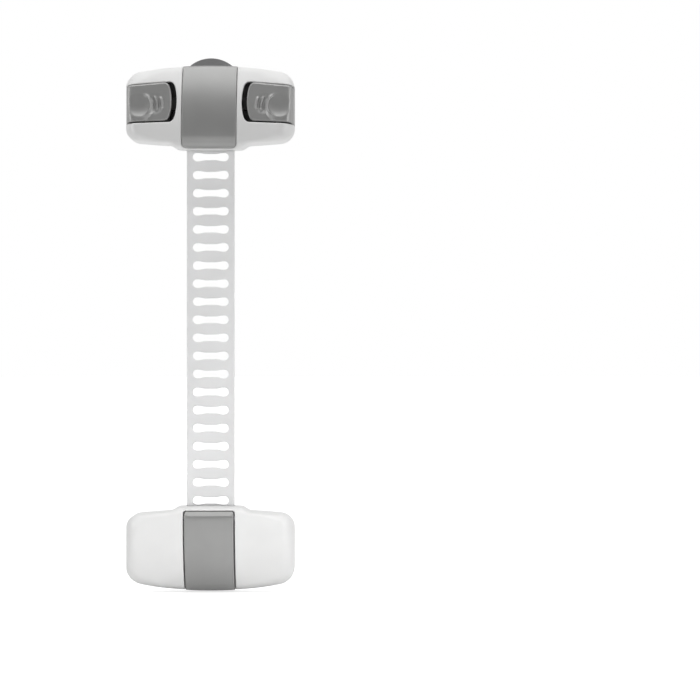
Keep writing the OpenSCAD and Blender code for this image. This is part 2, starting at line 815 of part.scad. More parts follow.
module anchor_cover() {
    clamp_half_w = lobe_x - stud_r - 2 * run_gap;
    clamp_y = (stud_rows[0] + stud_rows[1]) / 2;
    color(grey_plastic) upright() at_anchor() difference() {
        union() {
            intersection() {
                difference() {
                    pod_solid(0, cover_foot);
                    pod_solid(cover_t, cover_foot - over);
                }
                slab(-cover_w / 2, cover_w / 2);
                translate([-pod_w, hinge_y, 0]) cube([2 * pod_w, 3 * pod_outer_reach, 2 * pod_depth]);
            }
            x_cylinder(barrel_r, -cover_w / 2, cover_w / 2, hinge_y, hinge_z);
            intersection() {
                pod_solid(cover_t - fuse, strap_z1 + run_gap);
                translate([-clamp_half_w, clamp_y - clamp_w / 2, 0])
                    cube([2 * clamp_half_w, clamp_w, pod_depth]);
            }
        }
        x_cylinder(pin_r + pin_play, -pod_w, pod_w, hinge_y, hinge_z);
    }
}

latch_adhesive_pad();
latch_base_plate();
latch_housing();
latch_back_cover();
latch_band();
latch_screws();
strap_pin();
left_spring();
right_spring();
left_button();
right_button();
strap();
strap_bend();
strap_tail();
anchor_housing();
anchor_base();
anchor_adhesive_pad();
anchor_screws();
anchor_hinge_pin();
anchor_cover();
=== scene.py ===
"""Looks of a cabinet safety lock: two white pods, grey trims and buttons, and a translucent slotted strap.

The moulded shells are drawn flat, in millimetres: x to the right, y along the strap towards the latch
and z out from the door, each pod about its own centre with its strap side at -y. A shell is two height
fields over one plan, closed along the plan's edge.
"""

import math

import bmesh
import bpy
import numpy as np
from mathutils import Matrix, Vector
from mathutils.geometry import delaunay_2d_cdt
from mathutils.kdtree import KDTree


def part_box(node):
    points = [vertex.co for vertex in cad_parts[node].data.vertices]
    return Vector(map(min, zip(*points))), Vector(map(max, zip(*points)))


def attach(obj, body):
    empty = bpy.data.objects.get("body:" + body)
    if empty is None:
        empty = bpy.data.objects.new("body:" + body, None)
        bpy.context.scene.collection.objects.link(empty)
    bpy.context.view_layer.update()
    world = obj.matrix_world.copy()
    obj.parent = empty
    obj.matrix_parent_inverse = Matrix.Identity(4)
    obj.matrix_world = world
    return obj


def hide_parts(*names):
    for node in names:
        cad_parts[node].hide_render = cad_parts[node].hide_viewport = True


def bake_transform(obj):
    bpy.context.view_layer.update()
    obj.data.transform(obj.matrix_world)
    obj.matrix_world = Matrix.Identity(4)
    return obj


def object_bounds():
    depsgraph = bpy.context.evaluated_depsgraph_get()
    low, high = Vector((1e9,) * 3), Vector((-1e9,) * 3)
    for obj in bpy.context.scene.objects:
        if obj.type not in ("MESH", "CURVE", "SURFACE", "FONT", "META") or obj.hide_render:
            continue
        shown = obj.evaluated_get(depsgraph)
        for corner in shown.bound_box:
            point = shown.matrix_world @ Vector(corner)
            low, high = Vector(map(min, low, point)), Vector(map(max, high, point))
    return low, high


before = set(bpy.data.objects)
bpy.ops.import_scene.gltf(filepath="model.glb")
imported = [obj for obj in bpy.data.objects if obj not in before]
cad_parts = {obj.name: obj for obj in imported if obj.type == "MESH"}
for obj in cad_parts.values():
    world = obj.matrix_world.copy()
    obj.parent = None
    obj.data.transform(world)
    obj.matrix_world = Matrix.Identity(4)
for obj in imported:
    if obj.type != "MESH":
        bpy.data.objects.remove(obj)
cad_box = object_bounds()

MM = 0.001


def flat_box(node):
    """Lowest and highest corner of a CAD node in the flat frame, in millimetres."""
    lo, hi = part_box(node)
    return Vector((lo.x, lo.z, -hi.y)) / MM, Vector((hi.x, hi.z, -lo.y)) / MM


# Pods, from the frame
LATCH_LO, LATCH_HI = flat_box("latch_housing")
HALF_W, OUTER, DEPTH = LATCH_HI
STRAP_EDGE = -LATCH_LO.y
LATCH_BACK = LATCH_LO.z
ANCHOR_LO, ANCHOR_HI = flat_box("anchor_housing")
ANCHOR_BACK = ANCHOR_LO.z
SPACING = STRAP_EDGE - ANCHOR_HI.y

# Plan of a pod
OUTER_EDGE_R = 152
STRAP_EDGE_R = 271
OUTER_CORNER_R = 6.6
STRAP_CORNER_R = 5.5
COLLAR_BLEND = 3.7
COLLAR_DEPTH = 1.45
OVERRUN = 1  # length of an opening's path past the outline

# Front of a pod: a long arc, a crown at the strap side, round shoulders at the ends
OUTER_EDGE_H = 8
CROWN_R = 3.7
CROWN_OVERHANG = 0.3
CROWN_Y = -(STRAP_EDGE + CROWN_OVERHANG) + CROWN_R
OUTER_FALL = DEPTH - OUTER_EDGE_H
FRONT_R = ((OUTER - CROWN_Y) ** 2 + OUTER_FALL**2) / (2 * OUTER_FALL)
SHOULDER_R = 6.5
SHOULDER_RISE = 0.5
SHOULDER_BLEND = 0.8
EDGE_R_STRAP = 1.2
EDGE_R_OUTER = 2.2
EDGE_R_END = 4.5
EDGE_BLEND_Y = -6  # where the rounding starts to grow towards the outer edge
EDGE_BLEND_W = 12
END_BLEND_X = 17  # where it starts to grow towards the ends
END_BLEND_W = 10
EDGE_SHARE = 0.5  # most of the side's height that the rounding takes
WALL = 1.6
RIM_R = 0.4

# Band and flip cover
BAND_LO, BAND_HI = flat_box("latch_band")
BAND_TIP = 0.3
BAND_END = BAND_LO.y - BAND_TIP
BAND_FOOT = BAND_LO.z
BAND_T = 1.2
BED_T = 1.2
BAND_CORNER_R = 1.6
BAND_CREASE = -11.2
BAND_SLOPE = 0.3
BAND_EDGE_R = 0.9
SEAM = 0.1
SILL_INSET = 0.5
COVER_HI = flat_box("anchor_cover")[1]
COVER_HALF_W = COVER_HI.x
COVER_END = SPACING + COVER_HI.y
COVER_T = 1.6
COVER_GAP = 0.4
COVER_CREASE = -11.9
COVER_SLOPE = 0.75
HINGE_R = 2.6
HINGE_GAP = 0.05
HINGE_Y = HINGE_R - COVER_END - HINGE_GAP
HINGE_Z = DEPTH - HINGE_R
BARREL_INSET = 0.4
COVER_FOOT = 6.6
COVER_CORNER_R = 1.0
LIP_R = 0.8
CHEEK_T = 1.6
CLAMP_HALF_W = 3.2
CLAMP_T = 2.4
CLAMP_Y = -0.75
BASE_TOP = 3.1

# Windows and buttons
WINDOW_SHARE = 0.382
WINDOW_X = WINDOW_SHARE * HALF_W
WINDOW_TOP = 8.8
WINDOW_BOTTOM = -5.9
TOP_SLANT = 0.071
BOTTOM_SLANT = 0.03
WINDOW_BOW = 1.2
WINDOW_CORNER = 1.6
WINDOW_SQUARENESS = 10
WINDOW_SILL = 6.5
BUTTON_GAP = 0.35
BUTTON_EDGE_GAP = 0.45
BUTTON_RAISE = 0.1
BUTTON_TRAVEL = 1.5
BUTTON_X = WINDOW_X + BUTTON_TRAVEL + BUTTON_GAP
BUTTON_RECESS = 0.15
BUTTON_DROP = 0.35
BUTTON_SLOPE = 0.2
BUTTON_WALL = 1.4
BUTTON_CHAMFER = 0.4
BUTTON_END_R = 2.1
BUTTON_END_GAP = 0.75
DISH_X = 24.95
DISH_Y = 0.2
DISH_R = 4.1
DISH_DEPTH = 0.95
DISH_MEAN = 0.7
DISH_LEAN = 0.3
DISH_RIM_W = 0.2
HOLLOW_X = 19.3
HOLLOW_Y = 0.7
HOLLOW_RX = 3.9
HOLLOW_RY = 4.1
HOLLOW_DEPTH = 0.45
HOLLOW_STEEPNESS = 1.6
HOLLOW_BLEND = 0.5
RIDGE_RADII = (4.3, 6.4, 8.1)
RIDGE_HALF_ANGLES = (80, 29, 19)
RIDGE_TURNS = (-4, 7, 6)
RIDGE_STEEP_W = 0.35
RIDGE_GENTLE_WIDTHS = (1.2, 0.85, 0.85)
RIDGE_FADE = 0.55
RIDGE_TAPER = 0.5
RIDGE_H = 0.75

# Hooks, springs and screws
HOOK_Z0 = flat_box("right_button")[0].z
HOOK_Y = 2.0
HOOK_T = 1.2
HOOK_CHAMFER = 0.8
HOOK_REACH = 1.4
LEG_INSET = 1.15
LEG_X = BUTTON_X + LEG_INSET
LEG_T = 1.8
LEG_HALF_W = 3.6
CAP_FLOOR = 8.3
FLANGE_W = 0.9
FLANGE_INSET = 1
RUN_GAP = 0.3
SPRING_LO, SPRING_HI = flat_box("right_spring")
SPRING_Y = (SPRING_LO.y + SPRING_HI.y) / 2
SPRING_Z = (SPRING_LO.z + SPRING_HI.z) / 2
SPRING_COILS = 7
SPRING_END_COILS = 1.2
SPRING_WIRE = 0.5
SEAT_R = 2.15
PILOT_R = 1.1
PILOT_LEN = 1.8
RIB_HALF_W = 1.2
RIB_FOOT = 6.6
BOSS_R = 2.1
BORE_R = 1.02

# Strap
STRAP_HI = flat_box("strap")[1]
TAIL_LO, TAIL_HI = flat_box("strap_tail")
STRAP_HALF_W = STRAP_HI.x
STRAP_Z0 = TAIL_LO.z
STRAP_Z1 = TAIL_HI.z
STRAP_RIM_R = 0.3
STRAP_END_R = 3.0
EYE_R = 1.9
EYE_BORE_R = 1.05
EYE_Y = STRAP_HI.y - EYE_R
STRAP_Y0 = TAIL_LO.y
STRAP_Y1 = EYE_Y - (EYE_R + EYE_BORE_R) / 2
SLOT_PITCH = 6.45
SLOT_COUNT = 24
FIRST_SLOT_GAP = 2.22
FIRST_SLOT_Y = -(STRAP_EDGE + FIRST_SLOT_GAP)
SLOT_HALF_LEN = 6.4
LOBE_R = 1.5
NECK_HALF_H = 1.12
NECK_SHARE = 0.35
NECK_BLEND = 0.55
PASSAGE_PLAY = 0.3
PASSAGE_HALF_W = STRAP_HALF_W + PASSAGE_PLAY
COLLAR_MARGIN = 2.3
COLLAR_HALF_W = STRAP_HALF_W + COLLAR_MARGIN
PASSAGE_Z0 = 4.4
PASSAGE_Z1 = 6.3

# Foam tape
PAD_CORNER_R = 4.0
PAD_FILM_T = 0.1
PAD_CORE_INSET = 0.15
PAD_CELL = 0.06
FINE_CELLS, FINE_TWIST = 2.3, 9
COARSE_CELLS, COARSE_TWIST = 0.7, -5

# Mesh: steps along edges, rows of points beside them, and the lattice between
EDGE_STEP = 0.6
FINE_STEP = 0.25
STRAP_STEP = 1.0
RELIEF_STEP = 0.16
PAD_STEP = 0.3
EDGE_POINTS = 44
WINDOW_POINTS = 49
FLANGE_POINTS = 12
LOBE_POINTS = 10
NECK_POINTS = 12
COIL_POINTS = 28
PAD_LEVELS = 9
EYE_TURN = 10
WALL_STEP = 0.05  # width of the step from a wall's inner face up to the skin
CUT_STEP = 0.1
PASSAGE_STEP = 0.03
EDGE_ROWS = (0.02, 0.08, 0.2, 0.38, 0.62, 0.95, 1.3, WALL, WALL + WALL_STEP, 2.2, 3.0, 3.8, 4.6)
RIM_ROWS = (0.02, 0.08, 0.18, 0.3, RIM_R, 0.7, WALL, WALL + WALL_STEP)
STRAP_ROWS = (0.03, 0.1, 0.2, STRAP_RIM_R, 0.6)
RELIEF_ARC = (95, 265)
RELIEF_ROW_GAP = 0.06
STEEP_ROWS = (1, 0.66, 0.33)
GENTLE_ROWS = (0, 0.25, 0.5, 0.75, 1, 1.25)
ROW_CLEARANCE = 0.95
LEAST_CLEARANCE = 0.05
LATTICE_CLEARANCE = 0.6
SHELL_PITCH = 1.0
BED_PITCH = 1.2
BUTTON_PITCH = 0.3
FILL_HALF_W = 7.6
FILL_COLUMNS = 12
FILL_INSET = 1
FILL_STEP = 1.1
FILL_CLEARANCE = 0.9
TOUCH = 0.02  # points this close to a wall's inner face belong to the wall
SNAP = 0.012
TINY = 1e-12
PLAN_EPS = 1e-7
STRAP_EPS = 1e-6
SMOOTH_ANGLE = 38

# Finish
CLOUD_SCALE = 70
CLOUD_DETAIL = 4
CLOUD_RANGE = (0.35, 0.65)
GRAIN_DETAIL = 3
GLOSS_SPREAD = 0.05
GRAIN_STRENGTH = 0.5
KEPT_ANGLE = 50
KEPT_SEGMENTS = 2
WELD_GAP = 1e-6

# Light and floor, in metres
FRONT_FILL = 0.28
BACK_FILL = 0.8
FILL_SPAN = (-0.9, 0.3)
FLOOR_SHINE = 0.45
FLOOR_GLOW = 0.65
FLOOR_SHADE = 0.82
FLOOR_ROUGHNESS = 0.9
FLOOR_R = 6
FLOOR_GAP = 0.0005
CARD_X = 0.4
ANCHOR_MIDDLE = Vector((0, 0, -SPACING * MM))
MIDDLE = (cad_box[0] + cad_box[1]) / 2

# Camera, in metres: a straight front view, with the lock left of the middle
VIEW_CENTRE = Vector((0.0497, 0, -0.08615))
VIEW_DISTANCE = 0.77
VIEW_DEPTH = 0.008  # the depth in front of the door at which the view is VIEW_WIDTH wide
VIEW_WIDTH = 0.249
SENSOR_WIDTH = 36


# Plans

def dense(path, step=EDGE_STEP):
    """A path with its long stretches divided."""
    path = np.asarray(path, float)
    parts = [
        np.linspace(a, b, max(1, math.ceil(np.linalg.norm(b - a) / step)), endpoint=False)
        for a, b in zip(path, path[1:])
    ]
    return np.vstack((*parts, path[-1:]))


def arc(cx, cy, r, start, end, step=EDGE_STEP):
    """Points along an arc, from one angle to another in degrees."""
    count = max(3, math.ceil(abs(math.radians(end - start)) * r / step))
    a = np.radians(np.linspace(start, end, count + 1))
    return np.column_stack((cx + r * np.cos(a), cy + r * np.sin(a)))


def smooth(t):
    """Smooth step from 0 to 1."""
    t = np.clip(t, 0, 1)
    return t * t * (3 - 2 * t)


def collar_share(x):
    """Share of the collar's depth: 1 over the strap, and down to 0 beside it."""
    return (1 + np.cos(np.pi * np.clip((np.abs(x) - COLLAR_HALF_W) / COLLAR_BLEND, 0, 1))) / 2


def pod_outline(inset=0.0):
    """Plan outline of a pod, anticlockwise from the middle of its strap edge."""
    outer_cy = OUTER - OUTER_EDGE_R
    outer_x = HALF_W - OUTER_CORNER_R
    outer_y = outer_cy + math.sqrt((OUTER_EDGE_R - OUTER_CORNER_R) ** 2 - outer_x**2)
    outer_a = math.degrees(math.atan2(outer_y - outer_cy, outer_x))
    strap_cy = STRAP_EDGE_R + COLLAR_DEPTH - STRAP_EDGE
    strap_x = HALF_W - STRAP_CORNER_R
    strap_y = strap_cy - math.sqrt((STRAP_EDGE_R - STRAP_CORNER_R) ** 2 - strap_x**2)
    strap_a = math.degrees(math.atan2(strap_y - strap_cy, strap_x))
    edge_r = STRAP_EDGE_R - inset
    x = np.linspace(0, edge_r * math.cos(math.radians(strap_a)), EDGE_POINTS)
    x = np.union1d(x, [PASSAGE_HALF_W - PASSAGE_STEP, PASSAGE_HALF_W + PASSAGE_STEP])
    y = strap_cy - np.sqrt(edge_r**2 - x**2) - COLLAR_DEPTH * collar_share(x)
    right = dense(np.vstack((
        np.column_stack((x, y)),
        arc(strap_x, strap_y, STRAP_CORNER_R - inset, strap_a, 0)[1:],
        arc(outer_x, outer_y, OUTER_CORNER_R - inset, 0, outer_a),
        arc(0, outer_cy, OUTER_EDGE_R - inset, outer_a, 90)[1:],
    )))
    return np.vstack((right, right[1:-1][::-1] * (-1, 1)))


def window_path(inset, inner_x):
    """Edge of the right button window, from its lower edge at the pod's end round to its upper edge."""
    end_x = HALF_W + OVERRUN
    middle = (WINDOW_TOP + WINDOW_BOTTOM) / 2
    half = (WINDOW_TOP - WINDOW_BOTTOM) / 2 - inset
    run = end_x - WINDOW_X
    u = np.sin(np.radians(np.linspace(-90, 90, WINDOW_POINTS)))
    corner = 1 - np.sqrt(np.maximum(1 - u**WINDOW_SQUARENESS, 0))
    inner = np.column_stack((inner_x + WINDOW_BOW * u**2 + WINDOW_CORNER * corner, middle + u * half))
    lower, upper = middle - half - BOTTOM_SLANT * run, middle + half - TOP_SLANT * run
    return dense(np.vstack(((end_x, lower), inner, (end_x, upper))))


def tongue_path(half_w, end_y, corner_r):
    """Edge of a strip that runs in from the outer edge to end_y, with round corners."""
    far_y = OUTER + OVERRUN
    right = arc(half_w - corner_r, end_y + corner_r, corner_r, 0, -90, FINE_STEP)
    left = arc(corner_r - half_w, end_y + corner_r, corner_r, -90, -180, FINE_STEP)
    return dense(np.vstack(((half_w, far_y), right, left, (-half_w, far_y))))


def in_loop(points, loop):
    """Which points lie inside a loop."""
    inside = np.zeros(len(points), bool)
    for a, b in zip(loop, np.roll(loop, -1, 0)):
        if a[1] != b[1]:
            x = a[0] + (points[:, 1] - a[1]) * (b[0] - a[0]) / (b[1] - a[1])
            inside ^= ((a[1] > points[:, 1]) != (b[1] > points[:, 1])) & (points[:, 0] < x)
    return inside


def distance(points, path, closed=True):
    """Distance of each point from a path."""
    nearest = np.full(len(points), np.inf)
    for a, b in zip(path, np.roll(path, -1, 0) if closed else path[1:]):
        d = b - a
        t = np.clip(((points - a) @ d) / max(d @ d, TINY), 0, 1)
        nearest = np.minimum(nearest, np.hypot(*(points - a - t[:, None] * d).T))
    return nearest


def crossing(p, q, loop):
    """Where the line from p to q crosses a loop, and the number of the loop's side that it crosses."""
    d, e, start = q - p, np.roll(loop, -1, 0) - loop, loop - p
    cross = d[0] * e[:, 1] - d[1] * e[:, 0]
    cross[np.abs(cross) < TINY] = TINY
    t = (start[:, 0] * e[:, 1] - start[:, 1] * e[:, 0]) / cross
    u = (start[:, 0] * d[1] - start[:, 1] * d[0]) / cross
    side = np.flatnonzero((t >= 0) & (t <= 1) & (u >= 0) & (u < 1))[0]
    return p + t[side] * d, side


def split(loop, path, on_edge=None):
    """Cuts a loop along an open path. Returns what is left and what is cut out, each with its flags for
    the points on the pod's own edge, and the stretch of the pod's edge that was cut out. A loop without
    flags is the pod's own edge all round."""
    if on_edge is None:
        on_edge = np.ones(len(loop), bool)
    inside = np.flatnonzero(in_loop(path, loop))
    first, last = inside[0], inside[-1]
    start, i = crossing(path[first - 1], path[first], loop)
    end, j = crossing(path[last], path[last + 1], loop)
    cut = np.vstack((start, path[first:last + 1], end))
    along = np.insert(np.cumsum(np.linalg.norm(np.diff(cut, axis=0), axis=1)), 0, 0)
    wall = np.array([WALL, WALL + CUT_STEP])
    stops = np.union1d(along, np.concatenate((wall, along[-1] - wall)))
    cut = np.column_stack([np.interp(stops, along, c) for c in cut.T])
    off = np.zeros(len(cut), bool)
    off[[0, -1]] = True
    rest = np.vstack((loop[:i + 1], cut, loop[j + 1:]))
    rest_on = np.concatenate((on_edge[:i + 1], off, on_edge[j + 1:]))
    piece = np.vstack((loop[i + 1:j + 1], cut[::-1]))
    piece_on = np.concatenate((on_edge[i + 1:j + 1], off))
    return (rest, rest_on), (piece, piece_on), np.vstack((start, loop[i + 1:j + 1], end))


def plan(loop, rows, pitch, extra=()):
    """Points and triangles over a closed loop, with rows of points along its sides and a lattice inside.
    Each row keeps clear of its guard path, and extra rows are given as points. Returns also the numbers
    of the loop's own points."""
    ahead = np.roll(loop, -1, 0) - loop
    ahead /= np.linalg.norm(ahead, axis=1)[:, None]
    along = ahead + np.roll(ahead, 1, 0)
    along /= np.linalg.norm(along, axis=1)[:, None]
    inward = np.column_stack((-along[:, 1], along[:, 0]))
    points = [loop]
    for chosen, distances, guard in rows:
        for d in distances:
            row = loop[chosen] + d * inward[chosen]
            room = ROW_CLEARANCE * d
            clear = (distance(row, guard) > room) & (distance(row, loop) > min(room, LEAST_CLEARANCE))
            points.append(row[in_loop(row, loop) & clear])
    for row in extra:
        points.append(row[in_loop(row, loop) & (distance(row, loop) > WALL / 2)])
    points = np.vstack(points)
    points = points[np.sort(np.unique(np.round(points / SNAP), axis=0, return_index=True)[1])]
    tree = KDTree(len(points))
    for k, p in enumerate(points):
        tree.insert((*p, 0), k)
    tree.balance()
    lo, hi = loop.min(0), loop.max(0)
    rise = pitch * math.sqrt(3) / 2
    lattice = np.array([
        (x + pitch / 2 * (k % 2), y)
        for k, y in enumerate(np.arange(lo[1], hi[1], rise))
        for x in np.arange(lo[0], hi[0], pitch)
    ])
    lattice = lattice[in_loop(lattice, loop)]
    clear = [tree.find((*p, 0))[2] > LATTICE_CLEARANCE * pitch for p in lattice]
    points = np.vstack((points, lattice[clear]))
    verts, _, faces, origin, _, _ = delaunay_2d_cdt(
        [Vector(p) for p in points], [], [list(range(len(loop)))], 1, PLAN_EPS)
    number = {i: k for k, ids in enumerate(origin) for i in ids}
    return np.array(verts), faces, [number[i] for i in range(len(loop))]


# Height fields

def fillet(d, r):
    """Drop of a rounded edge at a distance d from it."""
    run = np.clip(r - d, 0, r)
    return r - np.sqrt(np.maximum(r * r - run * run, 0))


def soft_min(a, b, k):
    """Lower of two heights, with a blend of width k where they meet."""
    h = np.clip(0.5 + 0.5 * (b - a) / k, 0, 1)
    return b + (a - b) * h - k * h * (1 - h)


def front(y):
    """Side profile: a long arc that falls to the outer edge, and the crown's rounding."""
    run = y - CROWN_Y
    fall = FRONT_R - np.sqrt(FRONT_R**2 - np.maximum(run, 0) ** 2)
    return DEPTH - fall - fillet(CROWN_R - np.clip(-run, 0, CROWN_R), CROWN_R)


def shoulder(x):
    """Height of the round shoulders towards a pod's ends."""
    run = np.clip(np.abs(x) - (HALF_W - SHOULDER_R), 0, SHOULDER_R)
    return DEPTH + SHOULDER_RISE - SHOULDER_R + np.sqrt(SHOULDER_R**2 - run**2)


def pod_top(xy, edge_gap, back, outer_r=EDGE_R_OUTER, end_r=EDGE_R_END):
    """Front surface of a pod at plan points that lie edge_gap inside its outline."""
    x, y = xy.T
    z = soft_min(front(y), shoulder(x), SHOULDER_BLEND)
    side = EDGE_R_STRAP + (outer_r - EDGE_R_STRAP) * smooth((y - EDGE_BLEND_Y) / EDGE_BLEND_W)
    r = side + (end_r - side) * smooth((np.abs(x) - END_BLEND_X) / END_BLEND_W)
    return z - fillet(edge_gap, np.minimum(r, EDGE_SHARE * (z - back)))


# Meshes

def to_row(points, at_anchor=False):
    """Row frame, in metres, of points in a pod's flat frame."""
    x, y, z = np.asarray(points, float).T
    return np.column_stack((x, -z, -SPACING - y if at_anchor else y)) * MM


def closed_shell(bm, mesh_plan, top, bottom, place, inner=None):
    """Solid between two heights over a plan. Lower faces among the inner points take the second material,
    which paints them near-black as shade.
    """
    xy, faces, rim = mesh_plan
    upper = [bm.verts.new(p) for p in place(np.column_stack((xy, top)))]
    lower = [bm.verts.new(p) for p in place(np.column_stack((xy, bottom)))]
    for f in faces:
        bm.faces.new([upper[i] for i in f])
        under = bm.faces.new([lower[i] for i in reversed(f)])
        under.material_index = int(inner is not None and all(inner[i] for i in f))
    for i, j in zip(rim, rim[1:] + rim[:1]):
        bm.faces.new((lower[i], lower[j], upper[j], upper[i]))


def loft(bm, rings, capped=True):
    """Solid through rings of as many points in the row frame, capped at its ends or closed on itself."""
    rings = [[bm.verts.new(p) for p in ring] for ring in rings]
    pairs = list(zip(rings, rings[1:]))
    if capped:
        bm.faces.new(rings[0])
        bm.faces.new(rings[-1][::-1])
    else:
        pairs.append((rings[-1], rings[0]))
    for a, b in pairs:
        for i in range(len(a)):
            j = (i + 1) % len(a)
            bm.faces.new((a[i], b[i], b[j], a[j]))


def lifted(section, axis, at):
    """A plane section in the flat frame, at a place along the axis across it: 0 for x, 1 for y, 2 for z."""
    return np.insert(np.asarray(section, float), axis, at, axis=1)


def bar(bm, section, axis, start, end, place):
    """Straight bar with a given section."""
    loft(bm, [place(lifted(section, axis, at)) for at in (start, end)])


def rectangle(x0, y0, x1, y1):
    return np.array([(x0, y0), (x1, y0), (x1, y1), (x0, y1)])


def disc(x, y, r):
    return arc(x, y, r, 0, 360, FINE_STEP)[:-1]


def boss(bm, x, y, z0, z1, place):
    """Round boss along z, with the bore that a screw goes into."""
    unit = disc(0, 0, 1)
    levels = ((BOSS_R, z0), (BOSS_R, z1), (BORE_R, z1), (BORE_R, z0))
    loft(bm, [place(lifted((x, y) + r * unit, 2, z)) for r, z in levels], capped=False)


def screw_x(node):
    """Distance of a pair of screws from the centre line."""
    lo, hi = flat_box(node)
    return hi.x - (hi.y - lo.y) / 2


def wall_strip(bm, stretch, z0, z1, place):
    """Stretch of a pod's side wall under an opening."""
    ahead = np.gradient(stretch, axis=0)
    ahead /= np.linalg.norm(ahead, axis=1)[:, None]
    outer = stretch.copy()
    outer[0] += TOUCH * ahead[0]
    outer[-1] -= TOUCH * ahead[-1]
    inner = outer + WALL * np.column_stack((-ahead[:, 1], ahead[:, 0]))
    bar(bm, np.vstack((outer, inner[::-1])), 2, z0, z1, place)


def make(name, bm, *materials):
    """Object from a finished bmesh, smooth but for its sharp edges."""
    bmesh.ops.recalc_face_normals(bm, faces=bm.faces)
    mesh = bpy.data.meshes.new(name)
    bm.to_mesh(mesh)
    bm.free()
    for m in materials:
        mesh.materials.append(m)
    mesh.polygons.foreach_set("use_smooth", [True] * len(mesh.polygons))
    mesh.set_sharp_from_angle(angle=math.radians(SMOOTH_ANGLE))
    obj = bpy.data.objects.new(name, mesh)
    bpy.context.scene.collection.objects.link(obj)
    return obj


def settle(obj, body, slot, *nodes):
    """The piece rides on a body and stands for CAD nodes, which it hides; the slot is not used."""
    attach(obj, body)
    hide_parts(*nodes)
    return obj


# Materials

def grained(name, low, high, roughness, grain_scale, grain_depth, **sockets):
    """Material with slow clouds of colour, and a fine grain in its gloss and relief."""
    mat = bpy.data.materials.new(name)
    mat.use_nodes = True
    nodes, links = mat.node_tree.nodes, mat.node_tree.links
    shader = nodes["Principled BSDF"]
    for socket, value in sockets.items():
        shader.inputs[socket.replace("_", " ")].default_value = value
    coords = nodes.new("ShaderNodeTexCoord")
    clouds = nodes.new("ShaderNodeTexNoise")
    clouds.inputs["Scale"].default_value = CLOUD_SCALE
    clouds.inputs["Detail"].default_value = CLOUD_DETAIL
    ramp = nodes.new("ShaderNodeValToRGB")
    for stop, position, colour in zip(ramp.color_ramp.elements, CLOUD_RANGE, (low, high)):
        stop.position = position
        stop.color = (*colour, 1)
    grain = nodes.new("ShaderNodeTexNoise")
    grain.inputs["Scale"].default_value = grain_scale
    grain.inputs["Detail"].default_value = GRAIN_DETAIL
    gloss = nodes.new("ShaderNodeMapRange")
    gloss.inputs["To Min"].default_value = roughness - GLOSS_SPREAD
    gloss.inputs["To Max"].default_value = roughness + GLOSS_SPREAD
    bump = nodes.new("ShaderNodeBump")
    bump.inputs["Strength"].default_value = GRAIN_STRENGTH
    bump.inputs["Distance"].default_value = grain_depth
    links.new(coords.outputs["Object"], clouds.inputs["Vector"])
    links.new(coords.outputs["Object"], grain.inputs["Vector"])
    links.new(clouds.outputs["Fac"], ramp.inputs["Fac"])
    links.new(ramp.outputs["Color"], shader.inputs["Base Color"])
    links.new(grain.outputs["Fac"], gloss.inputs["Value"])
    links.new(gloss.outputs["Result"], shader.inputs["Roughness"])
    links.new(grain.outputs["Fac"], bump.inputs["Height"])
    links.new(bump.outputs["Normal"], shader.inputs["Normal"])
    return mat


WHITE = grained(
    "white_satin", (0.79, 0.79, 0.785), (0.82, 0.82, 0.815),
    roughness=0.36, grain_scale=2600, grain_depth=8e-6)
GREY = grained(
    "grey_satin", (0.33, 0.33, 0.326), (0.35, 0.35, 0.346),
    roughness=0.42, grain_scale=2600, grain_depth=8e-6,
    Metallic=0.55)
DARK = grained(
    "dark_grain", (0.25, 0.25, 0.253), (0.28, 0.28, 0.283),
    roughness=0.5, grain_scale=1500, grain_depth=2.5e-5)
# Near-black painted shade for the inside of the white latch shell and the inner parts of the grey buttons
PAINTED_SHADE = grained(
    "painted_shade_black", (0.02, 0.02, 0.02), (0.026, 0.026, 0.026),
    roughness=0.7, grain_scale=1500, grain_depth=2.5e-5)
BASE_WHITE = grained(
    "white_grain", (0.74, 0.74, 0.735), (0.79, 0.79, 0.785),
    roughness=0.5, grain_scale=1500, grain_depth=2.5e-5)
CLEAR = grained(
    "strap_frosted", (0.783, 0.784, 0.785), (0.813, 0.814, 0.815),
    roughness=0.42, grain_scale=1800, grain_depth=1.5e-5,
    Transmission_Weight=0.65, IOR=1.46)
FOAM = grained(
    "foam_cells", (0.76, 0.76, 0.73), (0.86, 0.86, 0.83),
    roughness=0.85, grain_scale=900, grain_depth=1.2e-4)
STEEL = grained(
    "steel_wire", (0.5, 0.5, 0.52), (0.62, 0.62, 0.64),
    roughness=0.26, grain_scale=3000, grain_depth=1e-5,
    Metallic=1.0)
ZINC = grained(
    "zinc_plate", (0.52, 0.53, 0.56), (0.66, 0.67, 0.68),
    roughness=0.34, grain_scale=2200, grain_depth=2e-5,
    Metallic=1.0)


# Latch pod

OUTLINE = pod_outline()


def rows_for(loop, on_edge, outline):
    """Rows along a pod's own edge and along the openings cut into it."""
    return [(on_edge, EDGE_ROWS, outline), (~on_edge, RIM_ROWS, loop)]


def mirrored(path):
    """The same opening on the left, walked the other way so that it still runs anticlockwise."""
    return path[::-1] * (-1, 1)


def passage(xy, z_closed):
    """Lower end of the side wall: higher where the strap passes under it."""
    over_strap = (np.abs(xy[:, 0]) < PASSAGE_HALF_W) & (xy[:, 1] < 0)
    return np.where(over_strap, PASSAGE_Z1, z_closed)


def under_strap():
    """Stretch of the strap edge under the strap."""
    under = OUTLINE[(np.abs(OUTLINE[:, 0]) < PASSAGE_HALF_W) & (OUTLINE[:, 1] < 0)]
    return under[np.argsort(under[:, 0])]


